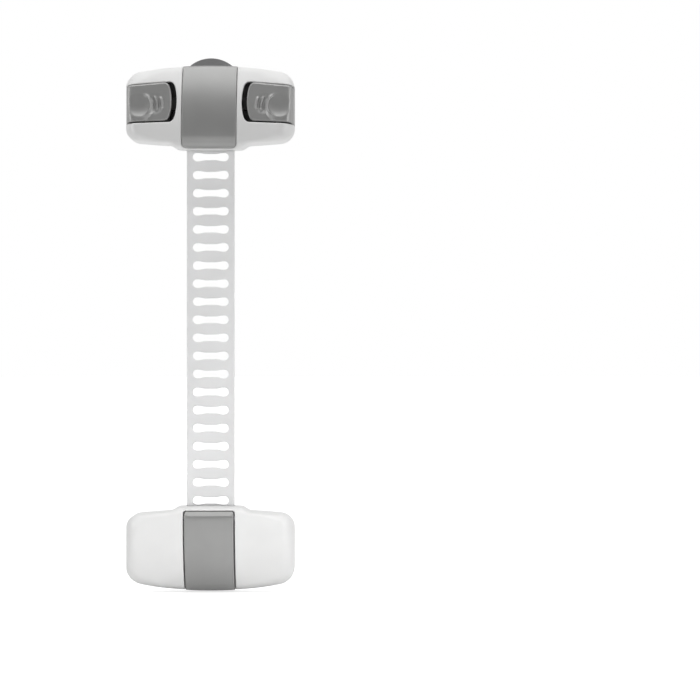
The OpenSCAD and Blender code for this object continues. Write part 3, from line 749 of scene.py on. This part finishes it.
def band_bed(bm):
    """Sunk floor of the latch housing, which the band lies on, and the sill at its strap end."""
    sunk = BAND_T + SEAM
    half_w = BAND_HI.x + SEAM + BED_T
    end_y = sunk + 2 * SEAM - STRAP_EDGE
    outline = pod_outline(sunk)
    path = tongue_path(half_w, end_y, BAND_CORNER_R)
    _, (loop, on), _ = split(outline, path)
    mesh_plan = plan(loop, [(on, (BED_T, BED_T + WALL_STEP), outline)], BED_PITCH)
    xy = mesh_plan[0]
    top = front(xy[:, 1]) - sunk
    outer_wall = (distance(xy, outline) < BED_T + TOUCH) & (xy[:, 1] > 0)
    closed_shell(bm, mesh_plan, top, np.where(outer_wall, BAND_FOOT - 1.5 * SEAM, top - BED_T), to_row)
    sill = rectangle(-half_w, SILL_INSET - STRAP_EDGE, half_w, end_y + BED_T)
    bar(bm, sill, 2, PASSAGE_Z1, front(end_y) - sunk - BED_T + SEAM / 2, to_row)


def latch_inside(bm):
    """Rib between the springs with its pilots, and the screw bosses."""
    rib = rectangle(-RIB_HALF_W, SPRING_Y - SEAT_R, RIB_HALF_W, SPRING_Y + SEAT_R)
    under_bed = front(SPRING_Y + SEAT_R) - BAND_T - BED_T
    bar(bm, rib, 2, RIB_FOOT, under_bed, to_row)
    reach = RIB_HALF_W + PILOT_LEN
    bar(bm, disc(SPRING_Y, SPRING_Z, PILOT_R), 0, -reach, reach, to_row)
    screws_lo, screws_hi = flat_box("latch_screws")
    y = (screws_lo.y + screws_hi.y) / 2
    for side in (-1, 1):
        boss(bm, side * screw_x("latch_screws"), y, screws_lo.z + WALL, front(y) - WALL / 2, to_row)


def latch_housing():
    """White shell of the latch pod, open for the buttons and the band."""
    right = window_path(0, WINDOW_X)
    band = tongue_path(BAND_HI.x + SEAM, BAND_END - SEAM, BAND_CORNER_R)
    (loop, on), _, right_sill = split(OUTLINE, right)
    (loop, on), _, band_sill = split(loop, band, on)
    (loop, on), _, left_sill = split(loop, mirrored(right), on)
    mesh_plan = plan(loop, rows_for(loop, on, OUTLINE), SHELL_PITCH)
    xy = mesh_plan[0]
    edge_gap = distance(xy, OUTLINE)
    surface = pod_top(xy, edge_gap, LATCH_BACK)
    openings = [distance(xy, p, closed=False) for p in (right, mirrored(right), band)]
    top = surface - fillet(np.min(openings, axis=0), RIM_R)
    in_wall = edge_gap < WALL + TOUCH
    bottom = np.where(in_wall, passage(xy, LATCH_BACK), surface - WALL)
    bm = bmesh.new()
    # The skin's underside inside the walls is painted near-black as shade, though the shell is white plastic
    closed_shell(bm, mesh_plan, top, bottom, to_row, inner=~in_wall)
    for sill in (right_sill, left_sill):
        wall_strip(bm, sill, LATCH_BACK, WINDOW_SILL, to_row)
    wall_strip(bm, band_sill, LATCH_BACK, BAND_FOOT - SEAM, to_row)
    wall_strip(bm, under_strap(), LATCH_BACK, PASSAGE_Z0, to_row)
    band_bed(bm)
    latch_inside(bm)
    settle(make("latch_shell", bm, WHITE, PAINTED_SHADE), "latch_pod", "white_plastic", "latch_housing")


def latch_band():
    """Grey trim over the middle of the latch pod, with a crease near its strap end."""
    path = tongue_path(BAND_HI.x, BAND_END, BAND_CORNER_R)
    _, (loop, on), _ = split(OUTLINE, path)
    mesh_plan = plan(loop, rows_for(loop, on, OUTLINE), SHELL_PITCH)
    xy = mesh_plan[0]
    edge_gap = distance(xy, OUTLINE)
    surface = pod_top(xy, edge_gap, LATCH_BACK, outer_r=BAND_EDGE_R)
    crease = front(BAND_CREASE) - BAND_SLOPE * (BAND_CREASE - xy[:, 1])
    surface = np.minimum(surface, crease)
    top = surface - fillet(distance(xy, path, closed=False), RIM_R)
    outer_wall = (edge_gap < BAND_T + TOUCH) & (xy[:, 1] > 0)
    bottom = np.where(outer_wall, BAND_FOOT, surface - BAND_T)
    bm = bmesh.new()
    closed_shell(bm, mesh_plan, top, bottom, to_row)
    settle(make("latch_band_trim", bm, GREY), "latch_pod", "grey_plastic", "latch_band")


# Buttons

def button_relief(xy):
    """Finger dish, the hollow beside it and three curved ridges, as heights over the right button."""
    dx, dy = DISH_X - xy[:, 0], xy[:, 1] - DISH_Y
    r = np.hypot(dx, dy)
    # The dish is deepest towards the strap side
    dish = DISH_DEPTH * np.clip(1 - (r / DISH_R) ** 2, 0, 1) * (DISH_MEAN - DISH_LEAN * dy / DISH_R)
    hollow_r = np.hypot((xy[:, 0] - HOLLOW_X) / HOLLOW_RX, (xy[:, 1] - HOLLOW_Y) / HOLLOW_RY)
    beside_dish = smooth((r - DISH_R) / HOLLOW_BLEND)
    hollow = HOLLOW_DEPTH * smooth(HOLLOW_STEEPNESS * (1 - hollow_r)) * beside_dish
    angle = np.degrees(np.arctan2(dy, dx))
    # The ridges are thin at their upper ends and full at their lower ends
    fullness = 1 - RIDGE_TAPER * np.sin(np.radians(angle))
    ridges = np.zeros(len(xy))
    for radius, half_angle, turn, gentle_w in zip(
            RIDGE_RADII, RIDGE_HALF_ANGLES, RIDGE_TURNS, RIDGE_GENTLE_WIDTHS):
        half_w = np.where(r < radius, RIDGE_STEEP_W, gentle_w * fullness)
        across = np.clip(1 - ((r - radius) / half_w) ** 2, 0, 1)
        fade = smooth((half_angle - np.abs(angle - turn)) / (RIDGE_FADE * half_angle))
        ridges = np.maximum(ridges, RIDGE_H * fullness * across * fade)
    return ridges - dish - hollow


def relief_rows():
    """Rows of plan points along the dish's edge and the ridges of the right button."""
    radii = [DISH_R - DISH_RIM_W, DISH_R]
    for radius, gentle_w in zip(RIDGE_RADII, RIDGE_GENTLE_WIDTHS):
        radii += [radius - RIDGE_STEEP_W * k for k in STEEP_ROWS]
        radii += [radius + gentle_w * k for k in GENTLE_ROWS]
    radii = np.sort(radii)
    radii = radii[np.insert(np.diff(radii) > RELIEF_ROW_GAP, 0, True)]
    return [arc(DISH_X, DISH_Y, r, *RELIEF_ARC, RELIEF_STEP) for r in radii]


def button_face(xy, edge_gap):
    """Surface of a button: flatter than the pod's front, so that it stands a little proud at its top."""
    middle = (WINDOW_TOP + WINDOW_BOTTOM) / 2
    z = front(middle) - BUTTON_DROP - BUTTON_SLOPE * (xy[:, 1] - middle)
    z = soft_min(z, shoulder(xy[:, 0]) - BUTTON_RECESS, SHOULDER_BLEND)
    return z - fillet(edge_gap, BUTTON_END_R)


def button_inside(bm, place):
    """Seat and pilot of the spring, the leg with its hook, and the flanges under the housing's skin."""
    seat_x = BUTTON_X - BUTTON_WALL
    seat = rectangle(SPRING_Y - SEAT_R, SPRING_Z - SEAT_R, SPRING_Y + SEAT_R, SPRING_Z + SEAT_R)
    bar(bm, seat, 0, seat_x, BUTTON_X + BUTTON_WALL, place)
    bar(bm, disc(SPRING_Y, SPRING_Z, PILOT_R), 0, seat_x - PILOT_LEN, seat_x + BUTTON_WALL, place)
    leg_end = LEG_X + LEG_T
    hook = [
        (LEG_X, HOOK_Z0), (leg_end, HOOK_Z0), (leg_end + HOOK_REACH, HOOK_Z0 + HOOK_CHAMFER),
        (leg_end + HOOK_REACH, HOOK_Z0 + HOOK_T), (leg_end, HOOK_Z0 + HOOK_T),
    ]
    top = front(HOOK_Y) - 2 * BUTTON_WALL
    bar(bm, [*hook, (leg_end, top), (LEG_X, top)], 1, HOOK_Y - LEG_HALF_W, HOOK_Y + LEG_HALF_W, place)
    for edge, slant, out in ((WINDOW_TOP, TOP_SLANT, 1), (WINDOW_BOTTOM, BOTTOM_SLANT, -1)):
        x = np.linspace(BUTTON_X + FLANGE_INSET, HALF_W - SHOULDER_R, FLANGE_POINTS)
        y = edge - slant * (x - WINDOW_X)
        near = np.column_stack((x, y - out * (BUTTON_GAP + BUTTON_WALL / 2)))
        far = np.column_stack((x, y + out * FLANGE_W))
        section = np.vstack((near, far[::-1]))
        upper = front(section[:, 1]) - WALL - RUN_GAP
        loft(bm, [place(np.column_stack((section, z))) for z in (upper - BUTTON_WALL, upper)])


def button(side):
    """Button on the right for side 1, on the left for side -1."""
    name = "right_button" if side > 0 else "left_button"

    def place(points):
        return to_row(np.asarray(points, float) * (side, 1, 1))

    outline = pod_outline(BUTTON_END_GAP)
    path = window_path(BUTTON_EDGE_GAP, BUTTON_X) + (0, BUTTON_RAISE)
    _, (loop, on), _ = split(outline, path)
    mesh_plan = plan(loop, rows_for(loop, on, outline), BUTTON_PITCH, relief_rows())
    xy = mesh_plan[0]
    edge_gap = distance(xy, outline)
    path_gap = distance(xy, path, closed=False)
    surface = button_face(xy, edge_gap)
    top = surface + button_relief(xy) - np.clip(BUTTON_CHAMFER - path_gap, 0, None)
    bottom = np.where(path_gap < WALL + TOUCH, CAP_FLOOR, surface - DISH_DEPTH - BUTTON_WALL)
    bottom = np.where(edge_gap < WALL + TOUCH, WINDOW_SILL + RUN_GAP, bottom)
    bm = bmesh.new()
    closed_shell(bm, mesh_plan, top, bottom, place)
    skin_faces = len(bm.faces)
    button_inside(bm, place)
    # The inner parts are painted near-black as shade, though the button is grey all through
    for face in list(bm.faces)[skin_faces:]:
        face.material_index = 1
    settle(make(name + "_cap", bm, GREY, PAINTED_SHADE), name, "grey_plastic", name)


# Strap

def slot_half_height(x):
    """Half the height of a slot at a distance x from its middle."""
    lobe_x = SLOT_HALF_LEN - LOBE_R
    neck = NECK_HALF_H + (LOBE_R - NECK_HALF_H) * smooth((x / lobe_x - NECK_SHARE) / NECK_BLEND)
    lobe = np.sqrt(np.maximum(LOBE_R**2 - np.maximum(x - lobe_x, 0) ** 2, 0))
    return np.where(x < lobe_x, neck, lobe)


def slot_outline():
    """Outline of a slot about its middle."""
    ends = SLOT_HALF_LEN - LOBE_R * (1 - np.cos(np.radians(np.linspace(0, 90, LOBE_POINTS))))
    x = np.concatenate((ends, np.linspace(SLOT_HALF_LEN - LOBE_R, 0, NECK_POINTS)[1:]))
    quarter = np.column_stack((x, slot_half_height(x)))
    half = np.vstack((quarter, quarter[:-1][::-1] * (-1, 1)))
    return np.vstack((half, half[1:-1][::-1] * (1, -1)))


def strap_eye(bm):
    """Eye round the strap's pin, square where the strip runs into it."""
    a = np.radians(np.arange(0, 360, EYE_TURN))
    unit = np.column_stack((np.cos(a), np.sin(a)))
    square = np.where((unit < 1e-6).all(1), np.abs(unit).max(1), 1)
    centre = (EYE_Y, STRAP_Z0 + EYE_R)
    outer, inner = centre + EYE_R * unit / square[:, None], centre + EYE_BORE_R * unit
    ends = ((outer, -1), (outer, 1), (inner, 1), (inner, -1))
    loft(bm, [to_row(lifted(ring, 0, side * STRAP_HALF_W)) for ring, side in ends], capped=False)


def strap_loops():
    """Outline of the flat strip, and then of each of its slots."""
    corner_x, corner_y = STRAP_HALF_W - STRAP_END_R, STRAP_Y0 + STRAP_END_R
    strip = dense(np.vstack((
        arc(-corner_x, corner_y, STRAP_END_R, 180, 270), arc(corner_x, corner_y, STRAP_END_R, 270, 360),
        (STRAP_HALF_W, STRAP_Y1), (-STRAP_HALF_W, STRAP_Y1), (-STRAP_HALF_W, corner_y),
    )), STRAP_STEP)[:-1]
    return [strip] + [slot_outline() + (0, FIRST_SLOT_Y - k * SLOT_PITCH) for k in range(SLOT_COUNT)]


def in_strip(points, loops):
    """Which points lie on the strip and in none of its slots."""
    inside = in_loop(points, loops[0])
    for slot in loops[1:]:
        inside &= ~in_loop(points, slot)
    return inside


def edge_gaps(points, loops):
    """Distance of each point from the nearest of several loops."""
    return np.min([distance(points, loop) for loop in loops], axis=0)


def strap_plan(loops):
    """Points, triangles and sides of the strip, with rows of points along its edge and its slots."""
    sides, rows, count = [], [], 0
    for loop, sign in zip(loops, [1] + [-1] * (len(loops) - 1)):
        size = len(loop)
        sides += [(count + i, count + (i + 1) % size) for i in range(size)]
        count += size
        ahead = np.roll(loop, -1, 0) - np.roll(loop, 1, 0)
        ahead /= np.linalg.norm(ahead, axis=1)[:, None]
        inward = sign * np.column_stack((-ahead[:, 1], ahead[:, 0]))
        rows += [loop + d * inward for d in STRAP_ROWS]
    filling = [
        (x, y) for x in np.linspace(-FILL_HALF_W, FILL_HALF_W, FILL_COLUMNS)
        for y in np.arange(STRAP_Y0 + FILL_INSET, STRAP_Y1, FILL_STEP)
    ]
    extra = np.vstack((*rows, filling))
    in_rows = np.arange(len(extra)) < len(extra) - len(filling)
    wanted = in_strip(extra, loops) & (in_rows | (edge_gaps(extra, loops) > FILL_CLEARANCE))
    points = [Vector(p) for p in np.vstack((*loops, extra[wanted]))]
    verts, _, faces, _, _, _ = delaunay_2d_cdt(points, sides, [], 0, STRAP_EPS)
    xy = np.array(verts)
    middles = np.array([xy[list(f)].mean(0) for f in faces])
    return xy, [f for f, kept in zip(faces, in_strip(middles, loops)) if kept], sides


def strap():
    """One flat strip for the strap's whole length, between the latch pod and its tail."""
    loops = strap_loops()
    xy, faces, sides = strap_plan(loops)
    drop = fillet(edge_gaps(xy, loops), STRAP_RIM_R)
    bm = bmesh.new()
    upper = [bm.verts.new(p) for p in to_row(np.column_stack((xy, STRAP_Z1 - drop)))]
    lower = [bm.verts.new(p) for p in to_row(np.column_stack((xy, STRAP_Z0 + drop)))]
    for f in faces:
        bm.faces.new([upper[i] for i in f])
        bm.faces.new([lower[i] for i in reversed(f)])
    for i, j in sides:
        bm.faces.new((lower[i], lower[j], upper[j], upper[i]))
    loose = [v for v in bm.verts if not v.link_faces]
    bmesh.ops.delete(bm, geom=loose, context="VERTS")
    strap_eye(bm)
    obj = make("strap_strip", bm, CLEAR)
    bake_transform(obj)
    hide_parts("strap", "strap_bend", "strap_tail")


# Anchor pod

def anchor_place(points):
    return to_row(points, at_anchor=True)


def collar_floor():
    """Floor of the anchor's collar, between its wall and the base."""
    base_edge = -SPACING - flat_box("anchor_base")[1].y - SEAM
    inside = pod_outline(WALL / 2)
    inside = inside[(inside[:, 1] < base_edge) & (np.abs(inside[:, 0]) < COLLAR_HALF_W + COLLAR_BLEND)]
    inside = inside[np.argsort(inside[:, 0])]
    ends = np.column_stack((inside[[-1, 0], 0], (base_edge, base_edge)))
    return np.vstack((inside, ends))


def anchor_housing():
    """White shell of the anchor pod, with the bay that the flip cover closes."""
    bay_half_w = COVER_HALF_W + COVER_GAP
    bay_end = HINGE_Y - HINGE_R - HINGE_GAP
    bay = tongue_path(bay_half_w, bay_end, COVER_CORNER_R)
    lip = np.array([(-bay_half_w, bay_end), (bay_half_w, bay_end)])
    (loop, on), _, sill = split(OUTLINE, bay)
    mesh_plan = plan(loop, rows_for(loop, on, OUTLINE), SHELL_PITCH)
    xy = mesh_plan[0]
    edge_gap = distance(xy, OUTLINE)
    surface = pod_top(xy, edge_gap, ANCHOR_BACK)
    side_rim = fillet(distance(xy, bay, closed=False), RIM_R)
    top = surface - np.maximum(side_rim, fillet(distance(xy, lip, closed=False), LIP_R))
    cheek = np.abs(xy[:, 0]) < bay_half_w + CHEEK_T + TOUCH
    bottom = np.where(edge_gap < WALL + TOUCH, passage(xy, ANCHOR_BACK),
                      np.where(cheek, passage(xy, BASE_TOP), surface - WALL))
    bm = bmesh.new()
    closed_shell(bm, mesh_plan, top, bottom, anchor_place)
    wall_strip(bm, sill, ANCHOR_BACK, PASSAGE_Z0, anchor_place)
    wall_strip(bm, under_strap(), ANCHOR_BACK, PASSAGE_Z0, anchor_place)
    bar(bm, collar_floor(), 2, ANCHOR_BACK + SEAM, BASE_TOP, anchor_place)
    for side in (-1, 1):
        boss_top = front(0.0) - WALL / 2
        boss(bm, side * screw_x("anchor_screws"), 0, BASE_TOP, boss_top, anchor_place)
    settle(make("anchor_shell", bm, WHITE), "anchor_pod", "white_plastic", "anchor_housing")


def anchor_cover():
    """Grey flip cover with its hinge barrel, and the rib that holds the strap down."""
    path = tongue_path(COVER_HALF_W, HINGE_Y - HINGE_R + HINGE_GAP, COVER_CORNER_R)
    _, (loop, on), _ = split(OUTLINE, path)
    mesh_plan = plan(loop, rows_for(loop, on, OUTLINE), SHELL_PITCH)
    xy = mesh_plan[0]
    y = xy[:, 1]
    edge_gap = distance(xy, OUTLINE)
    surface = pod_top(xy, edge_gap, ANCHOR_BACK, outer_r=BAND_EDGE_R)
    surface = np.minimum(surface, front(COVER_CREASE) - COVER_SLOPE * (COVER_CREASE - y))
    top = surface - fillet(distance(xy, path, closed=False), RIM_R)
    barrel = HINGE_Z - np.sqrt(np.maximum(HINGE_R**2 - (y - HINGE_Y) ** 2, 0))
    bottom = np.where(edge_gap < COVER_T + TOUCH, COVER_FOOT, surface - COVER_T)
    at_barrel = y < HINGE_Y + HINGE_R - BARREL_INSET
    bottom = np.where(at_barrel, np.minimum(barrel, surface - COVER_T), bottom)
    bm = bmesh.new()
    closed_shell(bm, mesh_plan, top, bottom, anchor_place)
    clamp = rectangle(-CLAMP_HALF_W, CLAMP_Y - CLAMP_T / 2, CLAMP_HALF_W, CLAMP_Y + CLAMP_T / 2)
    bar(bm, clamp, 2, PASSAGE_Z1, front(CLAMP_Y) - COVER_T / 2, anchor_place)
    settle(make("anchor_flip_cover", bm, GREY), "anchor_cover", "grey_plastic", "anchor_cover")


# Springs

def spring(side):
    """Coil spring between the housing's rib and a button. Its end coils lie close."""
    node, button_body = ("right_spring", "right_button") if side > 0 else ("left_spring", "left_button")
    near, far = SPRING_LO.x, SPRING_HI.x
    coil_r = (SPRING_HI.y - SPRING_LO.y - SPRING_WIRE) / 2
    turns = np.linspace(0, SPRING_COILS, SPRING_COILS * COIL_POINTS + 1)
    closed = np.minimum(turns, SPRING_END_COILS) - np.minimum(SPRING_COILS - turns, SPRING_END_COILS)
    opened = np.clip((turns - SPRING_END_COILS) / (SPRING_COILS - 2 * SPRING_END_COILS), 0, 1)
    dead = 2 * SPRING_END_COILS * SPRING_WIRE
    x = near + (closed + SPRING_END_COILS + 0.5) * SPRING_WIRE + opened * (far - near - SPRING_WIRE - dead)
    wire = disc(0, 0, SPRING_WIRE / 2)
    rings = []
    for xi, a in zip(x, 2 * np.pi * turns):
        out = np.array((0, math.cos(a), math.sin(a)))
        centre = np.array((xi, SPRING_Y, SPRING_Z)) + coil_r * out
        ring = centre + np.outer(wire[:, 0], out) + np.outer(wire[:, 1], (1, 0, 0))
        rings.append(to_row(ring * (side, 1, 1)))
    bm = bmesh.new()
    loft(bm, rings)
    obj = make(node + "_coil", bm, STEEL)
    ends = [Vector(to_row([(side * v, SPRING_Y, SPRING_Z)])[0]) for v in (near, far)]
    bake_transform(obj)
    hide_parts(node)


# Foam tape

def foam_pad(node, body):
    """Die-cut foam tape: two thin films, and a core of open cells that stands back between them."""
    lo, hi = flat_box(node)
    cx, cy = (lo.x + hi.x) / 2, (lo.y + hi.y) / 2
    corner_x, corner_y = (hi.x - lo.x) / 2 - PAD_CORNER_R, (hi.y - lo.y) / 2 - PAD_CORNER_R
    turns = ((1, 1, 0), (-1, 1, 90), (-1, -1, 180), (1, -1, 270))
    corners = [arc(sx * corner_x, sy * corner_y, PAD_CORNER_R, a, a + 90, PAD_STEP) for sx, sy, a in turns]
    outline = dense(np.vstack((*corners, corners[0][:1])), PAD_STEP)[:-1]
    out = np.sign(outline) * np.maximum(np.abs(outline) - (corner_x, corner_y), 0)
    out /= np.linalg.norm(out, axis=1)[:, None]
    k = np.arange(len(outline))
    rings = []
    for level in np.linspace(0, 1, PAD_LEVELS):
        z = lo.z + level * (hi.z - lo.z)
        in_core = PAD_FILM_T < z - lo.z < hi.z - lo.z - PAD_FILM_T
        cells = PAD_CELL * np.sin(FINE_CELLS * k + FINE_TWIST * level)
        cells *= np.sin(COARSE_CELLS * k + COARSE_TWIST * level)
        inset = PAD_CORE_INSET + cells if in_core else np.zeros(len(k))
        rings.append(to_row(lifted((cx, cy) + outline - inset[:, None] * out, 2, z)))
    bm = bmesh.new()
    loft(bm, rings)
    pad = settle(make(node.replace("adhesive_pad", "foam_tape"), bm, FOAM), body, "foam_tape", node)


latch_housing()
latch_band()
for hand in (-1, 1):
    button(hand)
    spring(hand)
strap()
anchor_housing()
anchor_cover()
foam_pad("latch_adhesive_pad", "latch_base")
foam_pad("anchor_adhesive_pad", "anchor_pod")

# CAD pieces that keep their shape, with a fine round on their edges
KEPT = {
    "latch_base_plate": (DARK, 0.25), "latch_back_cover": (DARK, 0.2), "anchor_base": (BASE_WHITE, 0.2),
    "latch_screws": (ZINC, 0.05), "anchor_screws": (ZINC, 0.05),
    "strap_pin": (STEEL, 0.15), "anchor_hinge_pin": (STEEL, 0.15),
}
for node, (mat, round_r) in KEPT.items():
    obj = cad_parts[node]
    obj.data.materials.clear()
    obj.data.materials.append(mat)
    weld = obj.modifiers.new("weld", "WELD")
    weld.merge_threshold = WELD_GAP
    bevel = obj.modifiers.new("round", "BEVEL")
    bevel.width = round_r * MM
    bevel.segments = KEPT_SEGMENTS
    bevel.angle_limit = math.radians(KEPT_ANGLE)


# Stage, lights and camera

def seen_rays(nodes, links, weights):
    """Weight of a ray by its kind, such as 1 for rays straight to the camera, and 0 for other rays."""
    path = nodes.new("ShaderNodeLightPath")
    total = None
    for kind, weight in weights.items():
        share = nodes.new("ShaderNodeMath")
        share.operation = "MULTIPLY"
        share.inputs[1].default_value = weight
        links.new(path.outputs[kind], share.inputs[0])
        either = nodes.new("ShaderNodeMath")
        either.operation = "MAXIMUM"
        either.inputs[1].default_value = 0
        links.new(share.outputs[0], either.inputs[0])
        if total:
            links.new(total, either.inputs[1])
        total = either.outputs[0]
    return total


def make_world():
    """White where it is seen, and a white surround that fades out towards the camera's side."""
    world = bpy.data.worlds.new("studio")
    world.use_nodes = True
    bpy.context.scene.world = world
    nodes, links = world.node_tree.nodes, world.node_tree.links
    background = nodes["Background"]
    background.inputs["Color"].default_value = (1, 1, 1, 1)
    coords = nodes.new("ShaderNodeTexCoord")
    axes = nodes.new("ShaderNodeSeparateXYZ")
    span = nodes.new("ShaderNodeMapRange")
    span.inputs["From Min"].default_value = FILL_SPAN[0]
    span.inputs["From Max"].default_value = FILL_SPAN[1]
    span.inputs["To Min"].default_value = FRONT_FILL
    span.inputs["To Max"].default_value = BACK_FILL
    either = nodes.new("ShaderNodeMath")
    either.operation = "MAXIMUM"
    links.new(coords.outputs["Generated"], axes.inputs["Vector"])
    links.new(axes.outputs["Y"], span.inputs["Value"])
    links.new(span.outputs["Result"], either.inputs[0])
    seen = seen_rays(nodes, links, {"Is Camera Ray": 1, "Is Transmission Ray": 1})
    links.new(seen, either.inputs[1])
    links.new(either.outputs[0], background.inputs["Strength"])


def make_floor():
    """Pale floor, white where it is seen, which keeps the shadow."""
    bm = bmesh.new()
    bmesh.ops.create_circle(bm, cap_ends=True, segments=96, radius=FLOOR_R)
    floor = make("floor", bm, None)
    floor.location.z = cad_box[0].z - FLOOR_GAP
    mat = bpy.data.materials.new("pale_floor")
    mat.use_nodes = True
    nodes, links = mat.node_tree.nodes, mat.node_tree.links
    shader = nodes["Principled BSDF"]
    shader.inputs["Base Color"].default_value = (FLOOR_SHADE, FLOOR_SHADE, FLOOR_SHADE, 1)
    shader.inputs["Roughness"].default_value = FLOOR_ROUGHNESS
    shader.inputs["Emission Color"].default_value = (1, 1, 1, 1)
    glow = nodes.new("ShaderNodeMapRange")
    glow.inputs["To Max"].default_value = FLOOR_GLOW
    kinds = {"Is Camera Ray": 1, "Is Transmission Ray": 1, "Is Glossy Ray": FLOOR_SHINE}
    seen = seen_rays(nodes, links, kinds)
    links.new(seen, glow.inputs["Value"])
    links.new(glow.outputs["Result"], shader.inputs["Emission Strength"])
    floor.data.materials[0] = mat


def softbox(name, location, target, width, height, power, spread=180):
    """Soft rectangular lamp, which doesn't show through the strap."""
    data = bpy.data.lights.new(name, "AREA")
    data.shape = "RECTANGLE"
    data.size, data.size_y, data.energy = width, height, power
    data.spread = math.radians(spread)
    lamp = bpy.data.objects.new(name, data)
    lamp.location = location
    lamp.rotation_mode = "QUATERNION"
    lamp.rotation_quaternion = (Vector(target) - Vector(location)).to_track_quat("-Z", "Y")
    lamp.visible_transmission = False
    bpy.context.scene.collection.objects.link(lamp)
    return lamp


make_world()
make_floor()
softbox("key_overhead", (0.0, -0.1, 0.5), MIDDLE, width=0.8, height=0.45, power=2.0)
fill = softbox(
    "fill_front", (0.08, -0.27, -0.14), ANCHOR_MIDDLE, width=0.16, height=0.08, power=0.045, spread=60)
fill.visible_glossy = False
for name, x in (("card_left", -CARD_X), ("card_right", CARD_X)):
    card = softbox(name, (x, -0.1, 0), (0, 0, 0), width=0.2, height=0.3, power=0.5)
    card.visible_diffuse = False

camera_data = bpy.data.cameras.new("camera")
camera_data.sensor_width = SENSOR_WIDTH
camera_data.lens = SENSOR_WIDTH * VIEW_DISTANCE / VIEW_WIDTH
camera = bpy.data.objects.new("camera", camera_data)
camera.location = VIEW_CENTRE - Vector((0, VIEW_DISTANCE + VIEW_DEPTH, 0))
camera.rotation_euler = (math.radians(90), 0, 0)
bpy.context.scene.collection.objects.link(camera)
bpy.context.scene.camera = camera
bpy.context.scene.view_settings.view_transform = "Standard"
